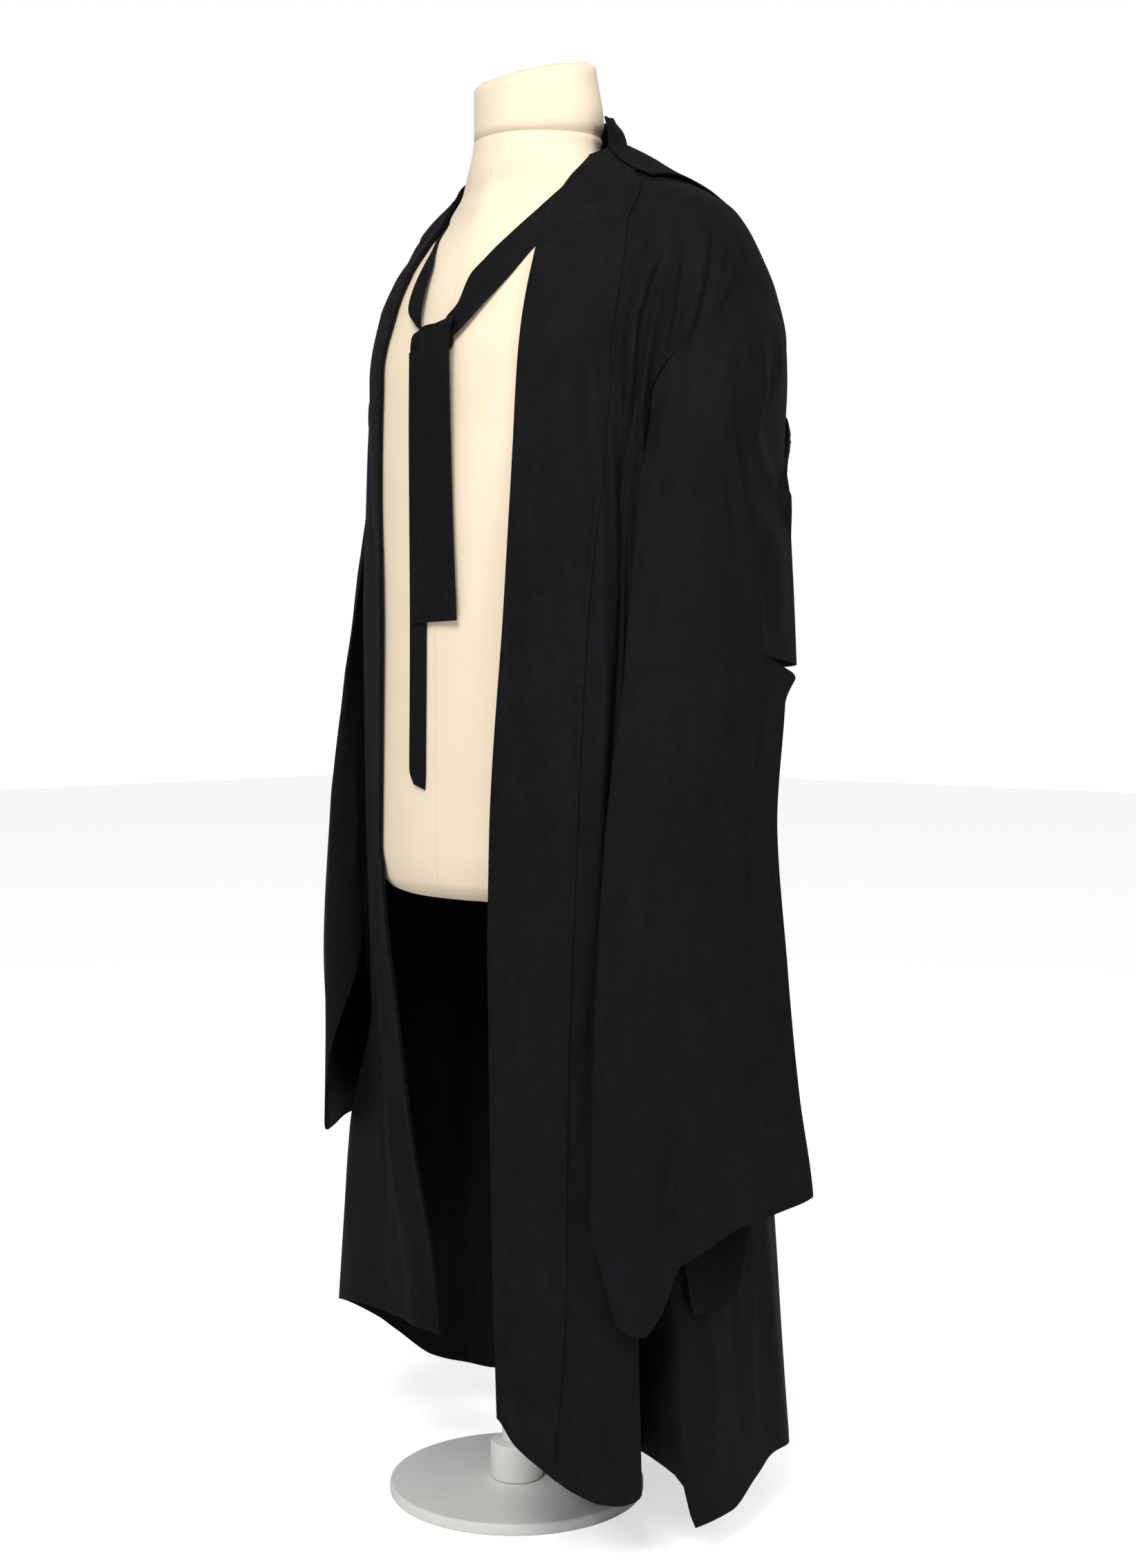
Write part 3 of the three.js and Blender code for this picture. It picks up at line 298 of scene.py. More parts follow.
def creases(rows, across, up, scale, wrap=0):
    """Depth of the creases at places on the cloth; scale turns across into millimetres."""
    total = np.zeros_like(up)
    for places, half, depth, lean in rows:
        steps = [math.hypot((b[0] - a[0]) * scale, b[1] - a[1]) for a, b in zip(places, places[1:])]
        run, done, nearest = sum(steps), 0.0, np.full_like(up, 1e9)
        share, side = np.zeros_like(up), np.zeros_like(up)
        for (a0, z0), (a1, z1), step in zip(places, places[1:], steps):
            gap = across - a0
            if wrap:
                gap = (gap + wrap / 2) % wrap - wrap / 2
            ax, az = (a1 - a0) * scale / step, (z1 - z0) / step
            px, pz = gap * scale, up - z0
            along = np.clip(px * ax + pz * az, 0, step)
            dx, dz = px - along * ax, pz - along * az
            away = np.hypot(dx, dz)
            closer = away < nearest
            nearest = np.where(closer, away, nearest)
            share = np.where(closer, (done + along) / run, share)
            side = np.where(closer, np.where(np.abs(dx) > 1e-9, np.sign(dx), 0), side)
            done += step
        steep = side * lean > 0
        width = np.where(steep, half * STEEP_SIDE, half * (1 + GENTLE_SIDE * abs(lean)))
        fade = smooth(share * CREASE_FADE) * smooth((1 - share) * CREASE_FADE)
        total += depth * np.exp(-2 * (nearest / width) ** 2) * fade
    return total


def body_radius(angle, z):
    """Radius of the body's inner face. On the shoulders it rests just over the form."""
    angle, z = np.broadcast_arrays(np.asarray(angle, float), np.asarray(z, float))
    shape = angle.shape
    angle, z = angle.ravel(), z.ravel()
    keys = BODY(z)
    last = len(BODY_ANGLES) - 1
    i = np.searchsorted(BODY_ANGLES[1:-1], angle)
    row = np.arange(len(z))
    before, after = np.maximum(i - 1, 0), np.minimum(i + 2, last)
    a0, a1, a2, a3 = (BODY_ANGLES[j] for j in (before, i, i + 1, after))
    p0, p1, p2, p3 = (keys[row, j] for j in (before, i, i + 1, after))
    m1, m2 = (p2 - p0) / (a2 - a0), (p3 - p1) / (a3 - a1)
    h = a2 - a1
    t = np.clip((angle - a1) / h, 0, 1)
    t2, t3 = t * t, t * t * t
    r = ((2 * t3 - 3 * t2 + 1) * p1 + (t3 - 2 * t2 + t) * h * m1
         + (3 * t2 - 2 * t3) * p2 + (t3 - t2) * h * m2)
    for middle, half, depth, top, full in BODY_FOLDS:
        across = 1 - np.abs(angle - middle) / half
        r += depth * smooth(across) * smooth((top - z) / (top - full))
    r += creases(BODY_CREASES, angle, z, BODY_RADIUS * RAD)
    rest = form_radius(angle, z - REST_RISE) + REST_OUT
    return np.where(z > FORM_BOTTOM - 10, np.maximum(r, rest), r).reshape(shape)


def polar(angle, r, z):
    """Places at an angle round the gown's axis, 0 in front, and at a distance from it."""
    return np.stack(np.broadcast_arrays(r * np.sin(angle * RAD), AXIS_Y - r * np.cos(angle * RAD), z), -1)


def body_point(angle, z, out=0.0):
    """Places on the body's inner face, or so far outside it."""
    return polar(np.asarray(angle, float), body_radius(angle, z) + out, z)


# Angles of the fronts' free edges and of the facings' outer edges, by height
FRONT_EDGE = table("z left leftFacing right rightFacing", [
    (1355, 108, 116, 252, 244),
    (1347, 98, 112, 262, 248),
    (1335, 86, 108, 277, 252),
    (1315, 72, 94, 291, 263),
    (1276, 54, 85, 306, 274),
    (1243, 48, 78.6, 312.5, 281),
    (1171, 42, 71.8, 320, 287),
    (1112, 40, 69, 323.6, 289),
    (1000, 38, 63.3, 324, 291),
    (890, 36, 59.8, 324, 290),
    (670, 32, 56.5, 323.4, 288),
    (600, 32, 55.5, 322, 288),
    (480, 33, 54, 318.8, 290),
    (345, 34.5, 53, 317.5, 291),
    (230, 36, 52, 316.8, 291),
    (130, 37.2, 50, 316.5, 289),
])
# Height of the hem, by angle
HEM = table("angle z", [
    (30, 152), (37, 146), (41, 126), (47, 106), (53, 86), (60, 72), (66, 71), (69, 78), (71.5, 94),
    (75, 96), (78, 82), (79.5, 56), (81, 34), (93, 35), (103, 53), (114, 66), (123, 62), (150, 48),
    (180, 44), (210, 44), (235, 48), (251, 64), (260, 96), (264, 112), (275, 142), (287, 158),
    (300, 158), (317, 155), (330, 152),
])["z"]


def on_side(angle, right):
    """The left side's angle, or its mirror image on the wearer's right."""
    return 360 - angle if right else angle


# Power that makes the armhole's ends rounder
ARMHOLE_POWER = 0.85


def armhole_share(angle):
    """0 at the armhole's front and back corners and 1 halfway round."""
    t = np.clip((np.asarray(angle, float) - ARMHOLE_FRONT) / (ARMHOLE_BACK - ARMHOLE_FRONT), 0, 1)
    return np.abs(np.sin(np.pi * t)) ** ARMHOLE_POWER


def armhole_upper(angle):
    return lerp(ARMHOLE_CORNER_Z, ARMHOLE_TOP_Z, armhole_share(angle))


def armhole_lower(angle):
    return lerp(ARMHOLE_CORNER_Z, UNDERARM_Z, armhole_share(angle))


SHOULDER_RADIUS = 220
SEAM_ANGLE = SEWN / SHOULDER_RADIUS / RAD
# Heights of a front's two edges down its upper part
FACING_EDGE_Z = curve([0, 0.25, 0.5, 0.75, 1], [1335, 1296, 1240, 1170, 1108])
FRONT_EDGE_Z = curve([0, 0.12, 0.25, 0.4, 0.6, 0.8, 1], [1355, 1342, 1320, 1285, 1232, 1175, 1112])
# Heights where a front's edge and its facing's edge meet the hem
FRONT_HEM_Z = 147
FACING_HEM_Z = 100


def front_place(column, row, upper, right):
    """Angle and height on a front panel: column 0 is its front edge, 1 the facing's edge, 2 the armhole."""
    name = "right" if right else "left"
    top = SIDE_SEAM - SEAM_ANGLE
    if upper:
        edge_z, facing_z = FRONT_EDGE_Z(row), FACING_EDGE_Z(row)
    else:
        edge_z = lerp(FRONT_EDGE_Z(1), HEM(FRONT_EDGE[name](FRONT_HEM_Z)), row)
        facing_z = lerp(FACING_EDGE_Z(1), HEM(FRONT_EDGE[name + "Facing"](FACING_HEM_Z)), row)
    edge_a = np.minimum(top, on_side(FRONT_EDGE[name](edge_z), right))
    facing_a = np.minimum(top, on_side(FRONT_EDGE[name + "Facing"](facing_z), right))
    if upper:
        side_a = lerp(top, ARMHOLE_FRONT, row)
        side_z = armhole_upper(side_a) + SEWN
    else:
        side_a = np.full_like(row, ARMHOLE_FRONT)
        side_z = lerp(ARMHOLE_CORNER_Z + SEWN, HEM(on_side(ARMHOLE_FRONT, right)), row)
    near = column <= 1
    angle = np.where(near, lerp(edge_a, facing_a, column), lerp(facing_a, side_a, column - 1))
    z = np.where(near, lerp(edge_z, facing_z, column), lerp(facing_z, side_z, column - 1))
    if not upper:
        start = front_place(column, np.ones_like(row), True, right)[1]
        z = lerp(start, HEM(on_side(angle, right)), row)
    return angle, z


def underarm_place(angle, row, right):
    """Angle and height on the strip under an armhole, from the armhole's low edge to the hem."""
    start = armhole_lower(angle) + SEWN * (armhole_share(angle) < 1e-6)
    return angle, lerp(start, HEM(on_side(angle, right)), row)


# Shares of the back's top edge where the neckline starts and ends
NECK_LEFT = 0.24
NECK_RIGHT = 1 - NECK_LEFT


def neckline(angle):
    """Height of the neckline."""
    share = np.clip((angle - SIDE_SEAM) / (360 - 2 * SIDE_SEAM), 0, 1)
    return lerp(NECK_SIDE_Z, NECK_BACK_Z, np.sin(np.pi * share))


def back_top(u):
    """The back's top edge: up one shoulder seam, round the neckline and down the other."""
    shoulder = SIDE_SEAM + SEAM_ANGLE
    over = lerp(shoulder, 360 - shoulder, (u - NECK_LEFT) / (NECK_RIGHT - NECK_LEFT))
    angle = np.where(u <= NECK_LEFT, shoulder, np.where(u >= NECK_RIGHT, 360 - shoulder, over))
    low = ARMHOLE_TOP_Z + SEWN
    rising = lerp(low, NECK_SIDE_Z, u / NECK_LEFT)
    falling = lerp(NECK_SIDE_Z, low, (u - NECK_RIGHT) / NECK_LEFT)
    z = np.where(u <= NECK_LEFT, rising, np.where(u >= NECK_RIGHT, falling, neckline(over)))
    return angle, z


def back_upper(u, v):
    """The back above the armhole's corners, filled in between its four edges."""
    left_a = lerp(SIDE_SEAM + SEAM_ANGLE, ARMHOLE_BACK, v)
    side_z = armhole_upper(left_a) + SEWN
    sides = (lerp(left_a, 360 - left_a, u), side_z)
    top = back_top(u)
    bottom = back_bottom(u)
    ends = [back_top(np.array(e, float)) for e in (0, 1)]
    feet = [back_bottom(np.array(e, float)) for e in (0, 1)]
    return [sides[i] + lerp(top[i], bottom[i], v)
            - lerp(lerp(ends[0][i], ends[1][i], u), lerp(feet[0][i], feet[1][i], u), v) for i in (0, 1)]


def back_bottom(u):
    """The level line between the back corners of the armholes."""
    return lerp(ARMHOLE_BACK, 360 - ARMHOLE_BACK, u), ARMHOLE_CORNER_Z + SEWN + 0 * u


# Level sections of the sleeves: places of the front edge, the outer crest and the back edge, and the swell
SLEEVE = "z frontX frontY crestX crestY backX backY swell"
SLEEVE_UPPER = {
    "left": table(SLEEVE, [
        (1000, 204, -44, 262, 46, 234, 142, 14),
        (920, 206, -56, 268, 52, 238, 146, 17),
        (835, 208, -68, 275, 57, 241, 147, 20),
    ]),
    "right": table(SLEEVE, [
        (1000, 190, -28, 256, 46, 234, 142, 6),
        (920, 195, -40, 264, 52, 238, 146, 8),
        (835, 200, -53, 272, 57, 241, 147, 10),
    ]),
}
SLEEVE_LOWER = {
    "left": table(SLEEVE, [
        (836, 208, -69, 275, 57, 258, 128, 20),
        (806, 206, -72, 281, 50, 290, 68, 20),
        (700, 205, -88, 278, 20, 285, 64, 16),
        (560, 210, -106, 288, 16, 295, 67, 15),
        (440, 215, -117, 298, 18, 305, 73, 14),
        (340, 219, -124, 308, 20, 318, 79, 12),
        (200, 222, -127, 312, 22, 324, 82, 12),
    ]),
    "right": table(SLEEVE, [
        (836, 200, -54, 272, 57, 258, 128, 10),
        (806, 200, -57, 276, 50, 288, 68, 10),
        (700, 203, -68, 274, 20, 284, 64, 8),
        (560, 208, -72, 284, 16, 292, 67, 8),
        (440, 206, -75, 287, 18, 297, 73, 7),
        (340, 206, -78, 290, 20, 303, 79, 6),
        (200, 208, -80, 292, 22, 306, 82, 6),
    ]),
}
# Space between a sleeve's inner side and the body
UNDERARM_CLEAR = 13
SLEEVE_START_OUT = 2.6
# Height where the sleeve has finished turning down from its seam
FIRST_LEVEL = 1000
# The elbow seam, how far it gapes at the back and the sleeve's lower end, by turn
ELBOW = table("turn z", [
    (0, 829), (0.12, 850), (0.25, 858), (0.38, 852), (0.5, 843), (0.75, 836), (1, 829),
])["z"]
ELBOW_GAPE = table("turn gap", [
    (0, 0.05), (0.36, 0.05), (0.44, 9), (0.5, 15), (0.58, 12), (0.68, 0.05), (1, 0.05),
])["gap"]
SLEEVE_END = {
    "left": table("turn z", [
        (0, 330), (0.036, 298), (0.071, 238), (0.107, 230), (0.143, 251), (0.179, 293), (0.214, 302),
        (0.25, 312), (0.3, 323), (0.36, 328), (0.43, 336), (0.5, 342), (0.571, 331), (0.607, 240),
        (0.643, 232), (0.7, 232), (0.75, 400), (0.83, 579), (0.91, 520), (1, 330),
    ])["z"],
    "right": table("turn z", [
        (0, 425), (0.036, 362), (0.1, 346), (0.25, 341), (0.38, 344), (0.5, 351), (0.6, 380),
        (0.7, 480), (0.82, 579), (0.92, 500), (1, 425),
    ])["z"],
}
# Creases of a sleeve, given like the body's but with the turn round the sleeve in place of the angle
BOTH_SLEEVES = [
    ([(0.17, 1150), (0.24, 1080), (0.3, 1010), (0.32, 920)], 10, -3, 0),
    ([(0.05, 1120), (0.07, 1040), (0.06, 950), (0.04, 870)], 9, 2.5, 0),
    ([(0.42, 1000), (0.43, 930), (0.42, 860)], 9, 3.5, 0),
    ([(0.52, 1040), (0.53, 940), (0.52, 860)], 10, -4, 0),
    ([(0.36, 840), (0.378, 780), (0.38, 700), (0.37, 600), (0.36, 480)], 10, 4, 1),
]
SLEEVE_CREASES = {
    "left": BOTH_SLEEVES + [
        ([(0.14, 1145), (0.185, 1110), (0.23, 1082), (0.335, 1011), (0.365, 960), (0.375, 898),
          (0.375, 846)], 9, 7, 1),
        ([(0.25, 1095), (0.36, 1012), (0.395, 950), (0.405, 880)], 8, -4, 0),
        ([(0.23, 1180), (0.28, 1126), (0.36, 1070), (0.44, 1020), (0.47, 960)], 8, 4, 0),
        ([(0.3, 1170), (0.34, 1110), (0.4, 1060)], 8, -3, 0),
        ([(0.36, 1120), (0.41, 1060), (0.45, 1018), (0.5, 960)], 34, -7, 0),
        ([(0.1, 1110), (0.13, 1010), (0.14, 900)], 12, -1.6, 0),
        ([(0.22, 434), (0.2, 402), (0.182, 374), (0.17, 340), (0.166, 300)], 5, 4.5, -1),
        ([(0.19, 425), (0.165, 380), (0.152, 330), (0.145, 290)], 8, -3.5, 0),
        ([(0.27, 820), (0.28, 700), (0.27, 560), (0.28, 460)], 14, -2.4, 0),
        ([(0.1, 800), (0.11, 680), (0.1, 560), (0.11, 430)], 14, 1.8, 0),
        ([(0.05, 700), (0.045, 560), (0.05, 440), (0.045, 350)], 10, -1.6, 0),
        ([(0.33, 420), (0.35, 380), (0.38, 350)], 9, 2.5, 0),
        ([(0.46, 800), (0.47, 690), (0.45, 560), (0.46, 420)], 10, -4, 0),
    ],
    "right": BOTH_SLEEVES + [
        ([(0.12, 1160), (0.2, 1090), (0.27, 1045), (0.33, 990), (0.355, 930), (0.36, 862)], 9, 4.5, 1),
        ([(0.23, 1180), (0.28, 1126), (0.36, 1070), (0.44, 1020)], 8, 4, 0),
        ([(0.24, 820), (0.23, 700), (0.25, 560), (0.24, 420)], 13, -3, 0),
        ([(0.12, 800), (0.13, 680), (0.11, 540), (0.12, 420)], 12, 3, 0),
        ([(0.92, 760), (0.9, 680), (0.91, 600)], 10, 3, 0),
    ],
}
# Places of a level section's points: two that swell between the front and the crest, and three on the
# inner side between the back and the front
SWELL_AT = (0.32, 0.68)
INNER_AT = (0.25, 0.52, 0.8)
# Usual length round a sleeve, which turns its turn into millimetres of cloth
SLEEVE_GIRTH = 330


def sleeve_level(side, levels, turn, z):
    """Points of a sleeve's level sections: a closed smooth curve through eight points at each height."""
    turn, z = np.broadcast_arrays(np.asarray(turn, float) % 1, np.asarray(z, float))
    front = np.stack([levels["frontX"](z), levels["frontY"](z), z], -1)
    crest = np.stack([levels["crestX"](z), levels["crestY"](z), z], -1)
    back = np.stack([levels["backX"](z), levels["backY"](z), z], -1)
    along = crest - front
    outward = np.stack([along[..., 1], -along[..., 0], 0 * z], -1)
    outward /= np.linalg.norm(outward, axis=-1, keepdims=True)
    swell = outward * levels["swell"](z)[..., None]
    front_a = np.arctan2(front[..., 0], AXIS_Y - front[..., 1]) / RAD
    back_a = np.arctan2(back[..., 0], AXIS_Y - back[..., 1]) / RAD

    def inner(t):
        angle = lerp(back_a, front_a, t)
        own = on_side(angle, side == "right")
        return polar(angle, body_radius(own, z) + UNDERARM_CLEAR, z)

    outer = [lerp(front, crest, t) + swell for t in SWELL_AT]
    points = np.stack([front, *outer, crest, back, *map(inner, INNER_AT)], -2)
    place = turn * 8
    i = np.floor(place).astype(int)
    w = (place - i)[..., None]
    picks = [((i + k) % 8)[..., None, None] for k in (-1, 0, 1, 2)]
    p0, p1, p2, p3 = (np.take_along_axis(points, k, -2)[..., 0, :] for k in picks)
    d0, d1, d2 = (np.linalg.norm(b - a, axis=-1, keepdims=True) ** 0.5
                  for a, b in ((p0, p1), (p1, p2), (p2, p3)))
    t1 = ((p1 - p0) / d0 - (p2 - p0) / (d0 + d1) + (p2 - p1) / d1) * d1
    t2 = ((p2 - p1) / d1 - (p3 - p1) / (d1 + d2) + (p3 - p2) / d2) * d1
    return p1 + t1 * w + (-3 * p1 + 3 * p2 - 2 * t1 - t2) * w ** 2 + (2 * p1 - 2 * p2 + t1 + t2) * w ** 3


def sleeve_start(turn, side):
    """Where the sleeve is sewn on, on the body's own surface, and the way it leaves the seam."""
    turn = turn % 1
    outer = turn < 0.5
    half = np.where(outer, turn * 2, 2 - turn * 2)
    angle = lerp(ARMHOLE_FRONT, ARMHOLE_BACK, half)
    own = on_side(angle, side == "right")
    share = armhole_share(angle)
    z = np.where(outer, armhole_upper(angle), armhole_lower(angle)) - SEWN
    out = np.where(outer, lerp(SLEEVE_START_OUT, 0, smooth(share * 1.6)), SLEEVE_START_OUT)
    point = body_point(own, z, out)
    ahead = body_point(own, z - 8, out + np.where(outer, 1.5 * share, 2))
    if side == "right":
        point[..., 0] *= -1
        ahead[..., 0] *= -1
    way = ahead - point
    return point, way / np.linalg.norm(way, axis=-1, keepdims=True)


def tube_normals(points):
    """Unit normals of a tube's grid of points, rows by columns."""
    du = np.roll(points, -1, 1) - np.roll(points, 1, 1)
    dv = np.gradient(points, axis=0)
    n = np.cross(dv, du)
    return n / np.maximum(np.linalg.norm(n, axis=-1, keepdims=True), 1e-9)


# Share of the upper sleeve's rows above FIRST_LEVEL
SLEEVE_SPLIT = 0.62
# The lower sleeve grows out of the elbow seam over this height
ELBOW_EASE = 70


def upper_sleeve(turn, row, side):
    """The upper sleeve leaves the armhole seam along its own way and then hangs straight down."""
    levels = SLEEVE_UPPER[side]
    start, way = sleeve_start(turn, side)
    end = sleeve_level(side, levels, turn, FIRST_LEVEL + 0 * row)
    low = np.clip((row - SLEEVE_SPLIT) / (1 - SLEEVE_SPLIT), 0, 1)
    level = sleeve_level(side, levels, turn, lerp(FIRST_LEVEL, ELBOW(turn), low))
    t = np.minimum(row / SLEEVE_SPLIT, 1)[..., None]
    span = np.linalg.norm(end - start, axis=-1, keepdims=True)
    t2, t3 = t * t, t * t * t
    down = np.array([0, 0, -1.0])
    hang = (start * (2 * t3 - 3 * t2 + 1) + way * (t3 - 2 * t2 + t) * span
            + end * (3 * t2 - 2 * t3) + down * (t3 - t2) * span)
    return np.where((row > SLEEVE_SPLIT)[..., None], level, hang)


def lower_sleeve(turn, row, side):
    """The lower sleeve starts on the upper one's end wherever the elbow seam doesn't gape."""
    gape = ELBOW_GAPE(turn)
    top = ELBOW(turn) - gape
    z = lerp(top, SLEEVE_END[side](turn), row)
    levels = SLEEVE_LOWER[side]
    point = sleeve_level(side, levels, turn, z)
    sewn = sleeve_level(side, SLEEVE_UPPER[side], turn, top) - sleeve_level(side, levels, turn, top)
    share = smooth(1 - (top - z) / ELBOW_EASE) * smooth(1 - gape / 4)
    point[..., :2] += sewn[..., :2] * share[..., None]
    return point


# Collar: its space from the back, the height of its roll and the lift of its sides
COLLAR_CLEAR = CLOTH + 0.9
COLLAR_ROLL = 27
COLLAR_BULGE = 7
# Angles of the neck band's end and of the collar's front edge, at its free corner and at the neck
BAND_FROM = 115
COLLAR_FRONT = 97
COLLAR_FROM = 103
# The collar bridges folds of the back that are narrower than this many degrees each way
COLLAR_BRIDGE = 13
# How much narrower the collar is at its front corners, and the angles from the back where that sets in
COLLAR_TAPER = 9
TAPER_FROM = 60
TAPER_OVER = 23
# Share of the collar's rows that make its roll
ROLL_SHARE = 0.16


def surface_normal(angle, z):
    """Unit normals of the body's surface."""
    across = body_point(angle + 0.5, z) - body_point(angle - 0.5, z)
    up = body_point(angle, z + 1) - body_point(angle, z - 1)
    n = np.cross(across, up)
    return n / np.linalg.norm(n, axis=-1, keepdims=True)


def collar_radius(angle, z):
    """Largest radius of the body near an angle, which the collar bridges to."""
    lo, hi = COLLAR_FRONT, 360 - COLLAR_FRONT
    steps = np.linspace(-COLLAR_BRIDGE, COLLAR_BRIDGE, 13)
    return np.max([body_radius(np.clip(angle + a, lo, hi), z) for a in steps], axis=0)


def outward(angle):
    """Level unit vectors away from the axis."""
    return np.stack([np.sin(angle * RAD), -np.cos(angle * RAD), 0 * angle], -1)


def neck_band_point(angle, row):
    """Places on the collar's stand, which leans in a little as it rises."""
    point = body_point(angle, neckline(angle) + SEAM + 1, 0.3)
    point[..., 2] += row * (COLLAR_ROLL - 0.5)
    return point - outward(angle) * (row * 2)[..., None]


def collar_edge(angle):
    """Lowest height of the collar at an angle: its square outline on the body."""
    reach = np.abs(np.sin(angle * RAD))
    lo, hi = np.full_like(angle, COLLAR_BOTTOM), np.full_like(angle, 1345.0)
    half_width = COLLAR_HALF_WIDTH - COLLAR_TAPER * smooth((np.abs(angle - 180) - TAPER_FROM) / TAPER_OVER)
    narrow = body_radius(angle, lo) * reach < half_width
    for _ in range(22):
        z = (lo + hi) / 2
        wide = body_radius(angle, z) * reach > half_width
        lo, hi = np.where(wide, z, lo), np.where(wide, hi, z)
    return np.where(narrow, COLLAR_BOTTOM, lo)


def collar_point(turn, row):
    """turn runs from -1, the end on the wearer's left, to 1; row from the roll to the free edge."""
    half = lerp(180 - COLLAR_FROM, 180 - COLLAR_FRONT, smooth(row * 1.15))
    angle = 180 + turn * half
    edge_angle = 180 + turn * (180 - COLLAR_FRONT)
    fall = np.clip((row - ROLL_SHARE) / (1 - ROLL_SHARE), 0, 1)
    z = lerp(neckline(angle), collar_edge(edge_angle), fall)
    lift = COLLAR_ROLL * (1 - smooth(row * 2.9)) ** 1.3
    over = np.clip((np.abs(angle - 180) - 50) / 10, 0, 1)
    clear = COLLAR_CLEAR + over * (CLOTH + LAYER_GAP)
    reach = np.abs(turn)
    spread = (collar_radius(angle, z) - body_radius(angle, z)) * smooth((1 - reach) / 0.2)
    sides = smooth((1 - reach) / 0.15) * smooth((reach - 0.5) / 0.3)
    clear += COLLAR_BULGE * sides * smooth((1 - row) / 0.6) * smooth(row * 4)
    clear = lerp(0.5, clear, smooth(row * 5))
    point = body_point(angle, z, spread) + surface_normal(angle, z) * clear[..., None]
    point[..., 2] += lift
    return point - outward(angle) * lerp(1.2, 0, smooth(row * 4))[..., None]


# Ties: angle and height of the top edge, of the low edge, and how far off the form
TIE_OFF = 1.3
LEFT_STRAP = [
    (84, 1326, 76, 1292, 0),
    (70, 1309, 64, 1276, 0),
    (52, 1286, 56, 1258, 0),
    (37, 1264, 46, 1239, 0.5),
    (21, 1236, 36, 1214, 1.5),
    (13, 1216, 25, 1188, 4),
    (10.5, 1190, 12.6, 1158, 6.5),
    (4, 1177, 6, 1150, 5),
]
RIGHT_STRAP = [
    (-70, 1302, -62, 1284, 0),
    (-56, 1288, -47, 1268, 0),
    (-43, 1266, -33, 1252, 0.5),
    (-34, 1247, -24, 1238, 2),
    (-31, 1219, -19.5, 1214, 4),
    (-26, 1190, -15, 1186, 6),
    (-18, 1176, -11, 1170, 6),
    (-9, 1166, -5, 1158, 4.5),
]
# Hanging ends: height, middle, widening, depth, slant
WIDE_END = [
    (1168, 1.5, -3, -110, 10),
    (1162, 2.5, -1, -117.5, 7),
    (1149, 3.5, -1, -121.2, 0),
    (1080, 6, 0, -122.6, 0),
    (980, 7.5, 3, -122.2, 0),
    (884, 9, 8, -121.4, 2),
]
NARROW_END = [
    (1146, -15.5, 0, -119.2, 0),
    (1060, -16.5, 0, -119.2, 0),
    (900, -16.5, 0, -118.6, 0),
    (745, -18.5, 0, -118.4, 0),
    (727, -16, -7, -118.4, -5),
]
# The knot: its middle, its half sizes and the power that squares it
KNOT_PLACE = (2, -110.9, 1158)
KNOT_HALF = (23, 5.8, 14)
KNOT_POWER = 0.6


def on_form(angle, z, off):
    """Places so far off the form."""
    return polar(angle, form_radius(angle, z - off * 0.7) + off, z)


def strap_point(rows, u, v):
    """Places on a strap of the tie: u runs along it from row to row, v across it."""
    keys = list(range(len(rows)))
    top_a, top_z, low_a, low_z, off = (curve(keys, [r[k] for r in rows])(u) for k in range(5))
    angle, z = lerp(top_a, low_a, v), lerp(top_z, low_z, v)
    across = on_form(angle + 1, z, 0) - on_form(angle - 1, z, 0)
    up = on_form(angle, z + 2, 0) - on_form(angle, z - 2, 0)
    n = np.cross(across, up)
    n /= np.linalg.norm(n, axis=-1, keepdims=True)
    return on_form(angle, z, 0) + n * (TIE_OFF + off)[..., None]


def tie_end_point(rows, width, u, v):
    """Places on a hanging end: u runs across it, v down it from row to row."""
    keys = list(range(len(rows)))
    z, x, widen, y, slant = (curve(keys, [r[k] for r in rows])(v) for k in range(5))
    return np.stack([x + (u - 0.5) * (width + widen), y + 0 * u, z + u * slant], -1)


# Run of the body's cloth from the armholes' corners to the hem, which sets the rows of fronts and back
SKIRT_RUN = 1010
# How far sewing lines lie from the edge: at hems, and at the elbow and the collar
HEM_LINE = 11
EDGE_LINE = 7



# Mesh making

def lengths_along(points, axis):
    """Distance run along a grid's axis, in metres, from its first row or column."""
    step = np.linalg.norm(np.diff(points, axis=axis), axis=-1)
    zero = np.zeros_like(step[:1] if axis == 0 else step[:, :1])
    return np.concatenate([zero, np.cumsum(step, axis=axis)], axis=axis) * MM


# Grids are joined where their points are this near
MERGE = 0.02


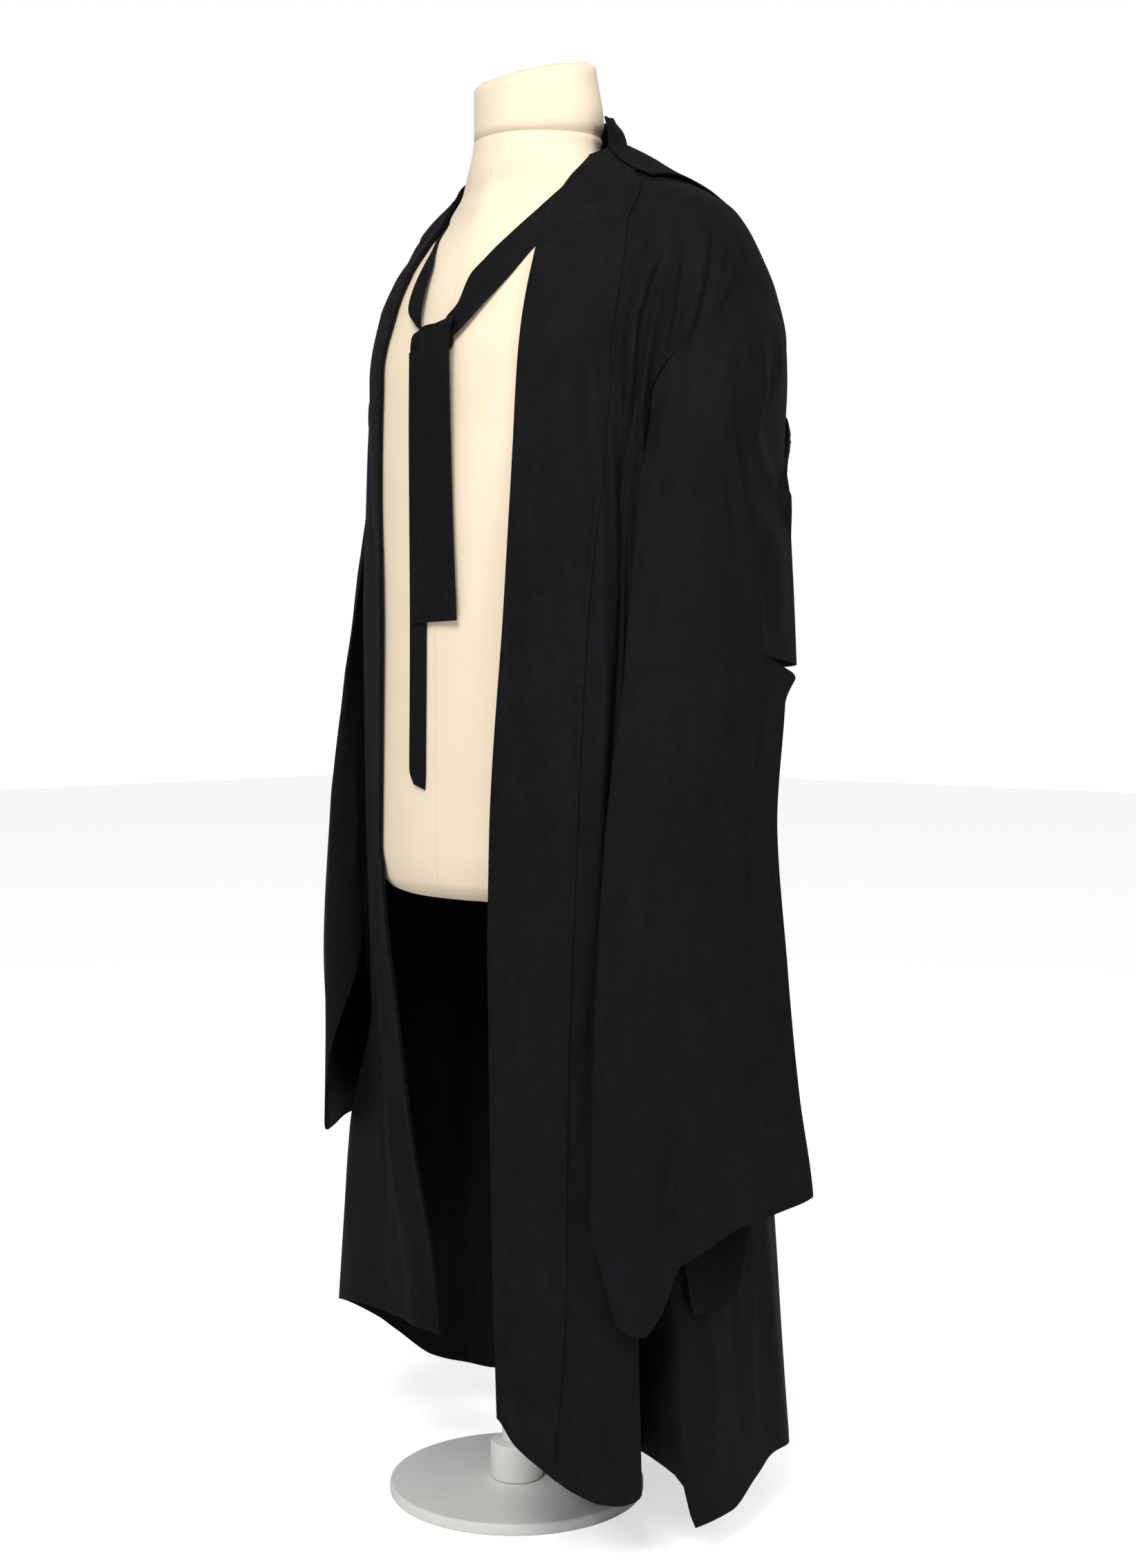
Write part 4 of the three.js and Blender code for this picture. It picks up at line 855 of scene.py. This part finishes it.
class Cloth:
    """A sheet of cloth in the making: grids placed on a surface and joined where they meet."""

    def __init__(self, name):
        self.name = name
        self.bm = bmesh.new()
        self.uv = self.bm.loops.layers.uv.new("UVMap")
        self.stitch = self.bm.loops.layers.uv.new("Stitch")

    def grid(self, points, stitch=None, flip=False, closed=False):
        """points are rows by columns in millimetres; stitch is (along, aside) of the nearest sewn edge."""
        if closed:
            points = np.concatenate([points, points[:, :1]], axis=1)
            stitch = None if stitch is None else np.concatenate([stitch, stitch[:, :1]], axis=1)
        rows, columns = points.shape[:2]
        u, v = lengths_along(points, 1), -lengths_along(points, 0)
        u = np.broadcast_to(u.mean(axis=0), u.shape) if closed else u - u[:, columns // 2, None]
        if stitch is None:
            stitch = np.stack([v, np.full_like(v, 1.0)], -1)
        made = bmesh.ops.create_grid(self.bm, x_segments=columns - 1, y_segments=rows - 1, size=0.5)
        flat_points = np.asarray(points, float).reshape(-1, 3) * MM
        flat_uv = np.stack([u, v], -1).reshape(-1, 2)
        flat_stitch = np.asarray(stitch, float).reshape(-1, 2)
        index = {}
        for k, vert in enumerate(made["verts"]):
            vert.co = flat_points[k]
            index[vert] = k
        faces = {f for vert in made["verts"] for f in vert.link_faces}
        for face in faces:
            for loop in face.loops:
                k = index[loop.vert]
                loop[self.uv].uv = flat_uv[k]
                loop[self.stitch].uv = flat_stitch[k]
        if flip:
            bmesh.ops.reverse_faces(self.bm, faces=list(faces))

    def finish(self, thickness, material, bevel=0.35):
        """Join the grids and give the sheet its thickness, outwards, with soft rims."""
        bmesh.ops.remove_doubles(self.bm, verts=self.bm.verts, dist=MERGE * MM)
        bmesh.ops.dissolve_degenerate(self.bm, edges=self.bm.edges, dist=MERGE * MM)
        piece = add_object(self.name, self.bm, material)
        wall = piece.modifiers.new("Wall", "SOLIDIFY")
        wall.thickness = thickness
        wall.offset = 1
        rim = piece.modifiers.new("Rim", "BEVEL")
        rim.width = bevel * MM
        rim.segments = 2
        rim.limit_method = "ANGLE"
        rim.angle_limit = 70 * RAD
        return piece


def add_object(name, bm, material):
    """A smooth-shaded object of the bmesh, which is used up."""
    mesh = bpy.data.meshes.new(name)
    bm.to_mesh(mesh)
    bm.free()
    piece = bpy.data.objects.new(name, mesh)
    bpy.context.scene.collection.objects.link(piece)
    mesh.materials.append(material)
    mesh.polygons.foreach_set("use_smooth", [True] * len(mesh.polygons))
    return piece


def declare(piece, node):
    """Put the piece under the root and hide the solids' part that it stands for."""
    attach(piece, "root")
    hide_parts(node)
    return piece


# Materials

# A full turn of the sine for each millimetre of a length in metres
WAVES = 6283


class Nodes:
    """Short words for building a material's node tree."""

    def __init__(self, name):
        self.material = bpy.data.materials.get(name) or bpy.data.materials.new(name)
        self.material.use_nodes = True
        self.tree = self.material.node_tree
        self.tree.nodes.clear()
        out = self.add("ShaderNodeOutputMaterial")
        self.shader = self.add("ShaderNodeBsdfPrincipled")
        self.link(self.shader.outputs[0], out.inputs[0])

    def add(self, kind, inputs=(), **settings):
        node = self.tree.nodes.new(kind)
        for key, value in settings.items():
            setattr(node, key, value)
        for key, value in dict(inputs).items():
            node.inputs[key].default_value = value
        return node

    def link(self, output, socket):
        self.tree.links.new(output, socket)

    def feed(self, name, output):
        """Run the shader's named input from an output."""
        self.link(output, self.shader.inputs[name])

    def set(self, name, value):
        """Give the shader's named input a constant."""
        self.shader.inputs[name].default_value = value

    def math(self, operation, a, b=None, clamp=False):
        node = self.add("ShaderNodeMath", operation=operation, use_clamp=clamp)
        for i, value in enumerate((a, b)):
            if isinstance(value, (int, float)):
                node.inputs[i].default_value = value
            elif value is not None:
                self.link(value, node.inputs[i])
        return node.outputs[0]

    def times(self, a, b):
        return self.math("MULTIPLY", a, b)

    def plus(self, a, b):
        return self.math("ADD", a, b)

    def wave(self, along, step):
        """Ripples a step of so many millimetres apart, from -1 to 1."""
        return self.math("SINE", self.times(along, WAVES / step))

    def uv_map(self, name):
        """Both coordinates of a UV map, in metres."""
        split = self.add("ShaderNodeSeparateXYZ")
        self.link(self.add("ShaderNodeUVMap", uv_map=name).outputs[0], split.inputs[0])
        return split.outputs[0], split.outputs[1]

    def places(self):
        return self.add("ShaderNodeTexCoord").outputs["Object"]

    def line(self, aside, half_width):
        """1 on a sewing line, falling to 0 at half its width in metres."""
        off = self.math("DIVIDE", self.math("ABSOLUTE", aside), half_width)
        return self.math("SUBTRACT", 1.0, off, clamp=True)

    def darkened(self, base, by, colour):
        """The base colour multiplied by a darker one as far as by says."""
        node = self.add("ShaderNodeMix", data_type="RGBA", blend_type="MULTIPLY")
        self.link(by, node.inputs[0])
        self.link(base, node.inputs[6])
        node.inputs[7].default_value = (*colour, 1)
        return node.outputs[2]

    def noise(self, vector, scale, detail, roughness=0.5):
        node = self.add("ShaderNodeTexNoise", {"Scale": scale, "Detail": detail, "Roughness": roughness})
        self.link(vector, node.inputs["Vector"])
        return node.outputs["Fac"]

    def ramp(self, fac, stops):
        node = self.add("ShaderNodeValToRGB")
        elements = node.color_ramp.elements
        while len(elements) < len(stops):
            elements.new(0.5)
        for element, (place, colour) in zip(elements, stops):
            element.position = place
            element.color = (*colour, 1)
        self.link(fac, node.inputs[0])
        return node.outputs[0]

    def bump(self, height, strength, distance, normal=None):
        node = self.add("ShaderNodeBump", {"Strength": strength, "Distance": distance})
        self.link(height, node.inputs["Height"])
        if normal is not None:
            self.link(normal, node.inputs["Normal"])
        return node.outputs[0]


def shade(colour, share):
    """The same colour, darker."""
    return tuple(c * share for c in colour)


# Shine of the gown's cloth
CLOTH_SPECULAR = 0.07
CLOTH_SHEEN = 0.006
# Gain of the cloth's lighter patches, which are a little bluer
BLUER = (1.34, 1.36, 1.5)


def cloth_material(name, colour):
    n = Nodes(name)
    u, v = n.uv_map("UVMap")
    place = n.places()
    # a fine twill: slanting ribs crossed by the weft, in millimetres a rib
    twill = n.wave(n.plus(u, n.times(v, 0.6)), 0.9)
    weft = n.wave(v, 0.7)
    weave = n.plus(n.times(twill, 0.35), n.times(weft, 0.15))
    slubs = n.noise(place, 900, 2)
    mottle = n.noise(place, 90, 6, 0.66)
    clouds = n.noise(place, 7, 4)
    # wear: streaks that run down the cloth
    stretch = n.add("ShaderNodeMapping", {"Scale": (1, 1, 0.28)})
    n.link(place, stretch.inputs["Vector"])
    worn = n.noise(stretch.outputs[0], 55, 6, 0.66)
    tone = n.plus(n.times(mottle, 0.4), n.plus(n.times(clouds, 0.22), n.times(worn, 0.38)))
    bluer = tuple(c * gain for c, gain in zip(colour, BLUER))
    base = n.ramp(tone, [(0.38, shade(colour, 0.76)), (0.5, colour), (0.62, bluer)])
    # sewing: a thread line set in from the edge, with a beat for each stitch
    along, aside = n.uv_map("Stitch")
    line = n.line(aside, 0.0013)
    beat = n.plus(n.times(n.wave(along, 2.8), 0.5), 0.5)
    n.feed("Base Color", n.darkened(base, n.times(line, 0.7), (0.35, 0.35, 0.35)))
    n.feed("Roughness", n.plus(n.times(mottle, 0.16), 0.62))
    n.set("Specular IOR Level", CLOTH_SPECULAR)
    n.set("Sheen Weight", CLOTH_SHEEN)
    n.set("Sheen Roughness", 0.42)
    n.set("Sheen Tint", (0.92, 0.9, 1.0, 1))
    fine = n.bump(n.plus(weave, n.times(slubs, 0.5)), 0.35, 0.00018)
    soft = n.bump(mottle, 0.25, 0.0009, fine)
    thread = n.math("SUBTRACT", n.times(line, beat), n.times(line, 0.7))
    n.feed("Normal", n.bump(thread, 0.8, 0.0006, soft))
    return n.material


def jersey_material(name, colour):
    n = Nodes(name)
    u, v = n.uv_map("UVMap")
    wale = n.wave(u, 1.1)
    knit = n.plus(n.times(wale, 0.4), n.times(n.times(wale, n.wave(v, 0.9)), 0.3))
    tone = n.ramp(n.noise(n.places(), 22, 4), [(0.3, shade(colour, 0.955)), (0.7, colour)])
    line = n.line(n.uv_map("Stitch")[1], 0.0011)
    n.feed("Base Color", n.darkened(tone, n.times(line, 0.5), (0.74, 0.6, 0.42)))
    n.set("Roughness", 0.9)
    n.set("Specular IOR Level", 0.2)
    n.set("Sheen Weight", 0.12)
    n.set("Sheen Roughness", 0.5)
    n.feed("Normal", n.bump(line, -0.6, 0.0008, n.bump(knit, 0.3, 0.0002)))
    return n.material


def enamel_material(name, colour):
    n = Nodes(name)
    place = n.places()
    mottle = n.noise(place, 30, 3)
    n.feed("Base Color", n.ramp(mottle, [(0.3, shade(colour, 0.97)), (0.7, colour)]))
    n.feed("Roughness", n.plus(n.times(mottle, 0.15), 0.35))
    n.feed("Normal", n.bump(n.noise(place, 700, 2), 0.1, 0.0002))
    return n.material


# What a user may change

class RobeSizes(bpy.types.PropertyGroup):
    cloth: FloatProperty(name="Cloth", description="Thickness of the gown's cloth",
                         default=CLOTH * MM, unit="LENGTH")
    band: FloatProperty(name="Band cloth", description="Thickness of doubled cloth",
                        default=BAND_CLOTH * MM, unit="LENGTH")
    mesh_step: FloatProperty(name="Mesh step", description="Spacing of the cloth's mesh",
                             default=0.0045, unit="LENGTH")


class RobeColours(bpy.types.PropertyGroup):
    gown: FloatVectorProperty(name="Gown", description="Colour of the suiting",
                              subtype="COLOR", size=3, default=(0.0060, 0.0059, 0.0071))
    facing: FloatVectorProperty(name="Facing", description="Colour of the facings and tie",
                                subtype="COLOR", size=3, default=(0.0064, 0.0059, 0.0066))
    jersey: FloatVectorProperty(name="Jersey", description="Colour of the form's cover",
                                subtype="COLOR", size=3, default=(0.94, 0.795, 0.59))
    enamel: FloatVectorProperty(name="Stand", description="Colour of the stand",
                                subtype="COLOR", size=3, default=(0.86, 0.85, 0.83))
    floor: FloatVectorProperty(name="Floor", description="Colour of the studio floor",
                               subtype="COLOR", size=3, default=(0.95, 0.95, 0.95))


def sizes():
    return bpy.context.scene.robe_sizes


def colours():
    return bpy.context.scene.robe_colours


def gown_cloth():
    return cloth_material("Gown suiting", tuple(colours().gown))


def facing_cloth():
    return cloth_material("Facing suiting", tuple(colours().facing))


def spaced(run, lo=0.0, hi=1.0):
    """Values from lo to hi, a mesh step apart on a run of so many millimetres."""
    count = max(2, int(round(run * MM / sizes().mesh_step)) + 1)
    return np.linspace(lo, hi, count)


def edge_lines(points, lines):
    """(along, aside) of the nearest sewing line; lines are (edge, inset) with the inset in millimetres."""
    down, across = lengths_along(points, 0), lengths_along(points, 1)
    up, back = down[-1:] - down, across[:, -1:] - across
    options = {"bottom": (across, up), "first": (down, across), "last": (down, back)}
    best = np.stack([down, np.full_like(down, 1.0)], -1)
    for edge, inset in lines:
        along, aside = options[edge]
        aside = np.abs(aside - inset * MM)
        nearer = aside < np.abs(best[..., 1])
        best[nearer] = np.stack([along, aside], -1)[nearer]
    return best


class ROBE_OT_fronts(bpy.types.Operator):
    """Both fronts with their facings"""
    bl_idname = "robe.fronts"
    bl_label = "Fronts and facings"

    def execute(self, context):
        gown, facing_look = gown_cloth(), facing_cloth()
        for side in ("left", "right"):
            right = side == "right"
            cloth, facing = Cloth(side + "_front_cloth"), Cloth(side + "_facing_cloth")
            # columns 0 to 1 lie under the facing, 1 to 2 run on to the armhole and the side seam
            near, far = spaced(95), spaced(185, 1, 2)
            rows = {True: spaced(250), False: spaced(SKIRT_RUN)}
            for upper in (True, False):
                for columns, is_facing in ((near, True), (far, False)):
                    u, v = np.meshgrid(columns, rows[upper])
                    angle, z = front_place(u, v, upper, right)
                    own = on_side(angle, right)
                    points = body_point(own, z)
                    lines = [] if upper else [("bottom", HEM_LINE)]
                    cloth.grid(points, edge_lines(points, lines), flip=right)
                    if is_facing:
                        layer = points + surface_normal(own, z) * (CLOTH + LAYER_GAP)
                        edges = [("first", 5), ("last", 6)] + ([] if upper else [("bottom", 12)])
                        facing.grid(layer, edge_lines(layer, edges), flip=right)
            under, v = np.meshgrid(spaced(107, ARMHOLE_FRONT, SIDE_SEAM), rows[False])
            angle, z = underarm_place(under, v, right)
            angle = np.minimum(angle, SIDE_SEAM - SEAM_ANGLE)
            points = body_point(on_side(angle, right), z)
            cloth.grid(points, edge_lines(points, [("bottom", HEM_LINE)]), flip=right)
            piece = declare(cloth.finish(sizes().cloth, gown), side + "_front")
            piece = declare(facing.finish(sizes().cloth, facing_look), side + "_facing")
        return {"FINISHED"}


class ROBE_OT_back(bpy.types.Operator):
    """The back, from both shoulder seams to the hem"""
    bl_idname = "robe.back"
    bl_label = "Back"

    def execute(self, context):
        cloth = Cloth("back_cloth")
        columns = np.union1d(spaced(520), [NECK_LEFT, NECK_RIGHT])
        rows = spaced(SKIRT_RUN)
        u, v = np.meshgrid(columns, spaced(240))
        cloth.grid(body_point(*back_upper(u, v)))
        u, v = np.meshgrid(columns, rows)
        angle, z = back_bottom(u)
        points = body_point(angle, lerp(z, HEM(angle), v))
        cloth.grid(points, edge_lines(points, [("bottom", HEM_LINE)]))
        for right in (False, True):
            angle, v = np.meshgrid(spaced(105, SIDE_SEAM, ARMHOLE_BACK), rows)
            place = underarm_place(angle, v, right)
            angle = np.maximum(place[0], SIDE_SEAM + SEAM_ANGLE)
            points = body_point(on_side(angle, right), place[1])
            cloth.grid(points, edge_lines(points, [("bottom", HEM_LINE)]), flip=right)
        piece = declare(cloth.finish(sizes().cloth, gown_cloth()), "back_panel")
        return {"FINISHED"}


class ROBE_OT_sleeves(bpy.types.Operator):
    """Both sleeves: the upper tube to the elbow seam and the deep open lower part"""
    bl_idname = "robe.sleeves"
    bl_label = "Sleeves"

    def execute(self, context):
        look = gown_cloth()
        turns = spaced(620)[:-1]
        parts = (("upper", upper_sleeve, spaced(330), EDGE_LINE),
                 ("lower", lower_sleeve, spaced(560), HEM_LINE))
        for side in ("left", "right"):
            right = side == "right"
            for part, shape, rows, inset in parts:
                u, v = np.meshgrid(turns, rows)
                points = shape(u, v, side)
                push = creases(SLEEVE_CREASES[side], u, points[..., 2], SLEEVE_GIRTH, wrap=1)
                points = points + tube_normals(points) * push[..., None]
                if right:
                    points[..., 0] *= -1
                cloth = Cloth(f"{side}_sleeve_{part}_cloth")
                cloth.grid(points, edge_lines(points, [("bottom", inset)]), flip=right, closed=True)
                piece = cloth.finish(sizes().cloth, look, bevel=0.2)
                declare(piece, f"{side}_sleeve_{part}")
        return {"FINISHED"}


class ROBE_OT_collar(bpy.types.Operator):
    """The neck band and the square flap collar that lies on the back"""
    bl_idname = "robe.collar"
    bl_label = "Collar"

    def execute(self, context):
        u, v = np.meshgrid(spaced(540, -1, 1), spaced(290))
        cloth = Cloth("flap_collar_cloth")
        points = collar_point(u, v)
        cloth.grid(points, edge_lines(points, [(edge, EDGE_LINE) for edge in ("bottom", "first", "last")]))
        piece = declare(cloth.finish(sizes().band, facing_cloth()), "flap_collar")
        u, v = np.meshgrid(spaced(300, BAND_FROM, 360 - BAND_FROM), spaced(26))
        band = Cloth("neck_band_cloth")
        band.grid(neck_band_point(u, v))
        piece = declare(band.finish(sizes().cloth, gown_cloth()), "neck_band")
        return {"FINISHED"}


class ROBE_OT_tie(bpy.types.Operator):
    """The tie: two straps over the form, the knot and its hanging ends"""
    bl_idname = "robe.tie"
    bl_label = "Tie"

    def execute(self, context):
        look = facing_cloth()
        for name, rows in (("left", LEFT_STRAP), ("right", RIGHT_STRAP)):
            u, v = np.meshgrid(spaced(200, 0, len(rows) - 1), np.linspace(0, 1, 9))
            cloth = Cloth(f"tie_{name}_strap_cloth")
            cloth.grid(strap_point(rows, u, v), flip=name == "left")
            piece = declare(cloth.finish(sizes().cloth, look), f"tie_{name}_strap")
        ends = (("wide", WIDE_END, TIE_WIDE, sizes().band, 300),
                ("narrow", NARROW_END, TIE_NARROW, sizes().cloth, 420))
        for name, rows, width, thickness, length in ends:
            u, v = np.meshgrid(np.linspace(0, 1, 12), spaced(length, 0, len(rows) - 1))
            cloth = Cloth(f"tie_{name}_end_cloth")
            points = tie_end_point(rows, width, u, v)
            cloth.grid(points, edge_lines(points, [("bottom", 4)]))
            piece = declare(cloth.finish(thickness, look), f"tie_{name}_end")
        bm = bmesh.new()
        bmesh.ops.create_uvsphere(bm, u_segments=40, v_segments=24, radius=1)
        for vert in bm.verts:
            vert.co = [(middle + math.copysign(abs(c) ** KNOT_POWER, c) * half) * MM
                       for c, middle, half in zip(vert.co, KNOT_PLACE, KNOT_HALF)]
        declare(add_object("tie_knot_cloth", bm, look), "tie_knot")
        return {"FINISHED"}


# The form's seams: front, back and both sides by angle, and the one round the neck by height
FORM_SEAMS = (2.4, 181, 103, 257)
FORM_RADIUS = 125
NECK_SEAM_Z = curve([0, 40, 80, 118, 180], [1328, 1329, 1338, 1352, 1362])


def form_seams(angle, z):
    """(along, aside) of the form's nearest seam: front, back, sides and round the base of the neck."""
    around = angle % 360
    asides = [np.abs((around - seam + 180) % 360 - 180) * RAD * FORM_RADIUS for seam in FORM_SEAMS]
    neck = np.abs(z - NECK_SEAM_Z(np.minimum(around, 360 - around)))
    aside = np.minimum(np.min(asides, axis=0), neck)
    return np.stack([z * MM, aside * MM], -1)


# How much fuller the neck's back half is than the solid's. This sets in from the first angle over the
# second, rises from the first height over the second and fades out below the last one.
NECK_FULLER = 8.5
FULLER_TURN = (60, 45)
FULLER_RISE = (1338, 50)
FULLER_FADE = (1446, 66)
# The neck: its middle and where its straight part starts
NECK_Y = 30
NECK_LOW = 1366


def neck_fuller(angle, z):
    """How much fuller the neck's back half is than the solid, in millimetres."""
    around = np.minimum(angle % 360, 360 - angle % 360)
    sides = smooth((around - FULLER_TURN[0]) / FULLER_TURN[1])
    rise = smooth((z - FULLER_RISE[0]) / FULLER_RISE[1])
    return NECK_FULLER * sides * rise * smooth((FULLER_FADE[0] - z) / FULLER_FADE[1])


def neck_top(y):
    return NECK_TOP_FRONT + (y + NECK_Y) * NECK_TOP_SLOPE


class ROBE_OT_form(bpy.types.Operator):
    """The limbless dress form in its jersey cover"""
    bl_idname = "robe.form"
    bl_label = "Dress form"

    def execute(self, context):
        cloth = Cloth("dress_form_cover")
        turns = np.linspace(0, 360, 145)
        low, middle = np.linspace(FORM_BOTTOM, 632, 8), np.linspace(640, 1340, 110)
        heights = np.concatenate([low, middle, np.linspace(1345, NECK_LOW, 5)])
        angle, z = np.meshgrid(turns, heights[::-1])
        points = polar(angle, form_radius(angle, z) + neck_fuller(angle, z), z)
        cloth.grid(points, form_seams(angle, z))
        # the neck, drawn in at its rim, and its low domed top
        rows = []
        ring = polar(turns, form_radius(turns, 1400 + 0 * turns), 0 * turns)
        for share in (1.0, 0.985, 0.96, 0.93, 0.9, 0.8, 0.6, 0.4, 0.2, 0.0):
            shrink = lerp(1, 0.86, smooth((share - 0.9) / 0.1) if share > 0.9 else 0)
            row = ring.copy()
            row[:, 0] *= shrink
            row[:, 1] = NECK_Y + (ring[:, 1] - NECK_Y) * shrink
            row[:, 2] = lerp(NECK_LOW, neck_top(row[:, 1]), share)
            row += outward(turns) * neck_fuller(turns, row[:, 2])[:, None]
            rows.append(row)
        cap = []
        for k in (0.02, 0.25, 0.5, 0.75, 0.92):
            row = rows[0].copy()
            row[:, :2] = [0, NECK_Y] + (rows[0][:, :2] - [0, NECK_Y]) * k
            row[:, 2] = neck_top(row[:, 1]) + 5 * (1 - k ** 2)
            cap.append(row)
        cloth.grid(np.stack(cap + rows))
        # the flat underside
        base = polar(turns, form_radius(turns, FORM_BOTTOM + 0 * turns), FORM_BOTTOM + 0 * turns)
        cloth.grid(np.stack([base * [k, k, 1] for k in (1.0, 0.75, 0.5, 0.25, 0.02)]))
        bmesh.ops.remove_doubles(cloth.bm, verts=cloth.bm.verts, dist=0.05 * MM)
        holes = [e for e in cloth.bm.edges if e.is_boundary]
        bmesh.ops.holes_fill(cloth.bm, edges=holes, sides=0)
        bmesh.ops.recalc_face_normals(cloth.bm, faces=cloth.bm.faces)
        piece = add_object(cloth.name, cloth.bm, jersey_material("Form jersey", tuple(colours().jersey)))
        declare(piece, "dress_form")
        return {"FINISHED"}


def turned(name, profile, material, steps=96):
    """A solid turned about the pole: profile is (radius, height) pairs from the axis round and back."""
    bm = bmesh.new()
    verts = [bm.verts.new((max(r, 0) * MM, 0, z * MM)) for r, z in profile]
    edges = [bm.edges.new(pair) for pair in zip(verts, verts[1:])]
    bmesh.ops.spin(bm, geom=verts + edges, cent=(0, 0, 0), axis=(0, 0, 1), angle=2 * math.pi, steps=steps,
                   use_merge=True)
    bmesh.ops.remove_doubles(bm, verts=bm.verts, dist=0.01 * MM)
    bmesh.ops.recalc_face_normals(bm, faces=bm.faces)
    return add_object(name, bm, material)


def rounded(radius, low, high, soft):
    """Profile of a disc with soft rims."""
    arc = [(math.sin(a * RAD), math.cos(a * RAD)) for a in (0, 22, 45, 68, 90)]
    top = [(radius - soft + soft * s, high - soft + soft * c) for s, c in arc]
    foot = [(radius - soft + soft * s, low + soft - soft * c) for s, c in reversed(arc)]
    return [(0, high), *top, *foot, (0, low)]


class ROBE_OT_stand(bpy.types.Operator):
    """The stand: round base, socket and pole"""
    bl_idname = "robe.stand"
    bl_label = "Stand"

    def execute(self, context):
        look = enamel_material("Stand enamel", tuple(colours().enamel))
        low = BASE_HEIGHT + SEAM
        pole = low + SOCKET_HEIGHT + SEAM
        base = turned("stand_base_disc", rounded(BASE_RADIUS, 0, BASE_HEIGHT, 3), look)
        declare(base, "stand_base")
        socket = turned("stand_socket_collar", rounded(SOCKET_RADIUS, low, low + SOCKET_HEIGHT, 3), look)
        declare(socket, "stand_socket")
        tube = turned("stand_pole_tube", rounded(POLE_RADIUS, pole, FORM_BOTTOM - SEAM, 0.6), look, 64)
        declare(tube, "stand_pole")
        return {"FINISHED"}


# The camera stands at the corner between the wearer's front and left, turned and tipped by these
CAMERA_DISTANCE = 2.2
CAMERA_HEIGHT = 0.837
CAMERA_TURN = 1.37
CAMERA_PITCH = 2.95
CAMERA_LENS = 50.0
# The white surroundings' light on the robe, and what the floor adds for the camera alone
WORLD_LIGHT = 0.34
FLOOR_GLOW = 0.6
# Lamps: name, place, aim and size in metres, power in watts
LAMPS = [
    ("Key softbox", (1.3, -2.3, 3.0), (0, 0, 1.05), 1.5, 82),
    ("Side softbox", (2.8, -0.2, 2.5), (0, 0, 1.1), 1.2, 25),
    ("Top softbox", (0, 0.2, 3.4), (0, 0, 0), 2.6, 3),
]


class ROBE_OT_stage(bpy.types.Operator):
    """Floor, backdrop, lamps and camera"""
    bl_idname = "robe.stage"
    bl_label = "Studio"

    def execute(self, context):
        scene = context.scene
        n = Nodes("Studio floor")
        seen = n.add("ShaderNodeLightPath").outputs["Is Camera Ray"]
        n.set("Base Color", (*colours().floor, 1))
        n.set("Emission Color", (1, 1, 1, 1))
        n.feed("Emission Strength", n.times(seen, FLOOR_GLOW))
        n.set("Roughness", 0.9)
        n.set("Specular IOR Level", 0.1)
        bm = bmesh.new()
        bmesh.ops.create_grid(bm, x_segments=2, y_segments=2, size=12)
        add_object("studio_floor", bm, n.material)
        world = bpy.data.worlds.new("Studio white")
        world.use_nodes = True
        tree = world.node_tree
        back = tree.nodes["Background"]
        back.inputs[0].default_value = (1, 1, 1, 1)
        path = tree.nodes.new("ShaderNodeLightPath")
        seen = tree.nodes.new("ShaderNodeMapRange")
        seen.inputs["To Min"].default_value = WORLD_LIGHT
        seen.inputs["To Max"].default_value = 1.0
        tree.links.new(path.outputs["Is Camera Ray"], seen.inputs["Value"])
        tree.links.new(seen.outputs[0], back.inputs[1])
        scene.world = world
        for name, place, aim, size, power in LAMPS:
            light = bpy.data.lights.new(name, "AREA")
            light.size = size
            light.energy = power
            lamp = bpy.data.objects.new(name, light)
            lamp.location = place
            lamp.rotation_euler = (Vector(aim) - Vector(place)).to_track_quat("-Z", "Y").to_euler()
            scene.collection.objects.link(lamp)
        data = bpy.data.cameras.new("Photograph camera")
        data.lens = CAMERA_LENS
        data.sensor_width = 36
        data.sensor_fit = "AUTO"
        camera = bpy.data.objects.new("Photograph camera", data)
        at = CAMERA_DISTANCE / math.sqrt(2)
        camera.location = (at, -at, CAMERA_HEIGHT)
        camera.rotation_euler = ((90 - CAMERA_PITCH) * RAD, 0, (45 - CAMERA_TURN) * RAD)
        scene.collection.objects.link(camera)
        scene.camera = camera
        scene.view_settings.view_transform = "Standard"
        scene.view_settings.look = "None"
        return {"FINISHED"}


class ROBE_PT_panel(bpy.types.Panel):
    bl_label = "Judge robe"
    bl_idname = "ROBE_PT_panel"
    bl_space_type = "VIEW_3D"
    bl_region_type = "UI"
    bl_category = "Robe"

    def draw(self, context):
        for group in (context.scene.robe_sizes, context.scene.robe_colours):
            box = self.layout.box()
            for name in group.__annotations__:
                box.prop(group, name)
        for operator in OPERATORS:
            self.layout.operator(operator.bl_idname)


OPERATORS = (ROBE_OT_fronts, ROBE_OT_back, ROBE_OT_sleeves, ROBE_OT_collar, ROBE_OT_tie, ROBE_OT_form,
             ROBE_OT_stand, ROBE_OT_stage)
CLASSES = (RobeSizes, RobeColours, *OPERATORS, ROBE_PT_panel)


def register():
    for cls in CLASSES:
        bpy.utils.register_class(cls)
    bpy.types.Scene.robe_sizes = PointerProperty(type=RobeSizes)
    bpy.types.Scene.robe_colours = PointerProperty(type=RobeColours)


def unregister():
    del bpy.types.Scene.robe_colours
    del bpy.types.Scene.robe_sizes
    for cls in reversed(CLASSES):
        bpy.utils.unregister_class(cls)


def main():
    register()
    bpy.ops.robe.fronts()
    bpy.ops.robe.back()
    bpy.ops.robe.sleeves()
    bpy.ops.robe.collar()
    bpy.ops.robe.tie()
    bpy.ops.robe.form()
    bpy.ops.robe.stand()
    bpy.ops.robe.stage()


if __name__ == "__main__":
    main()
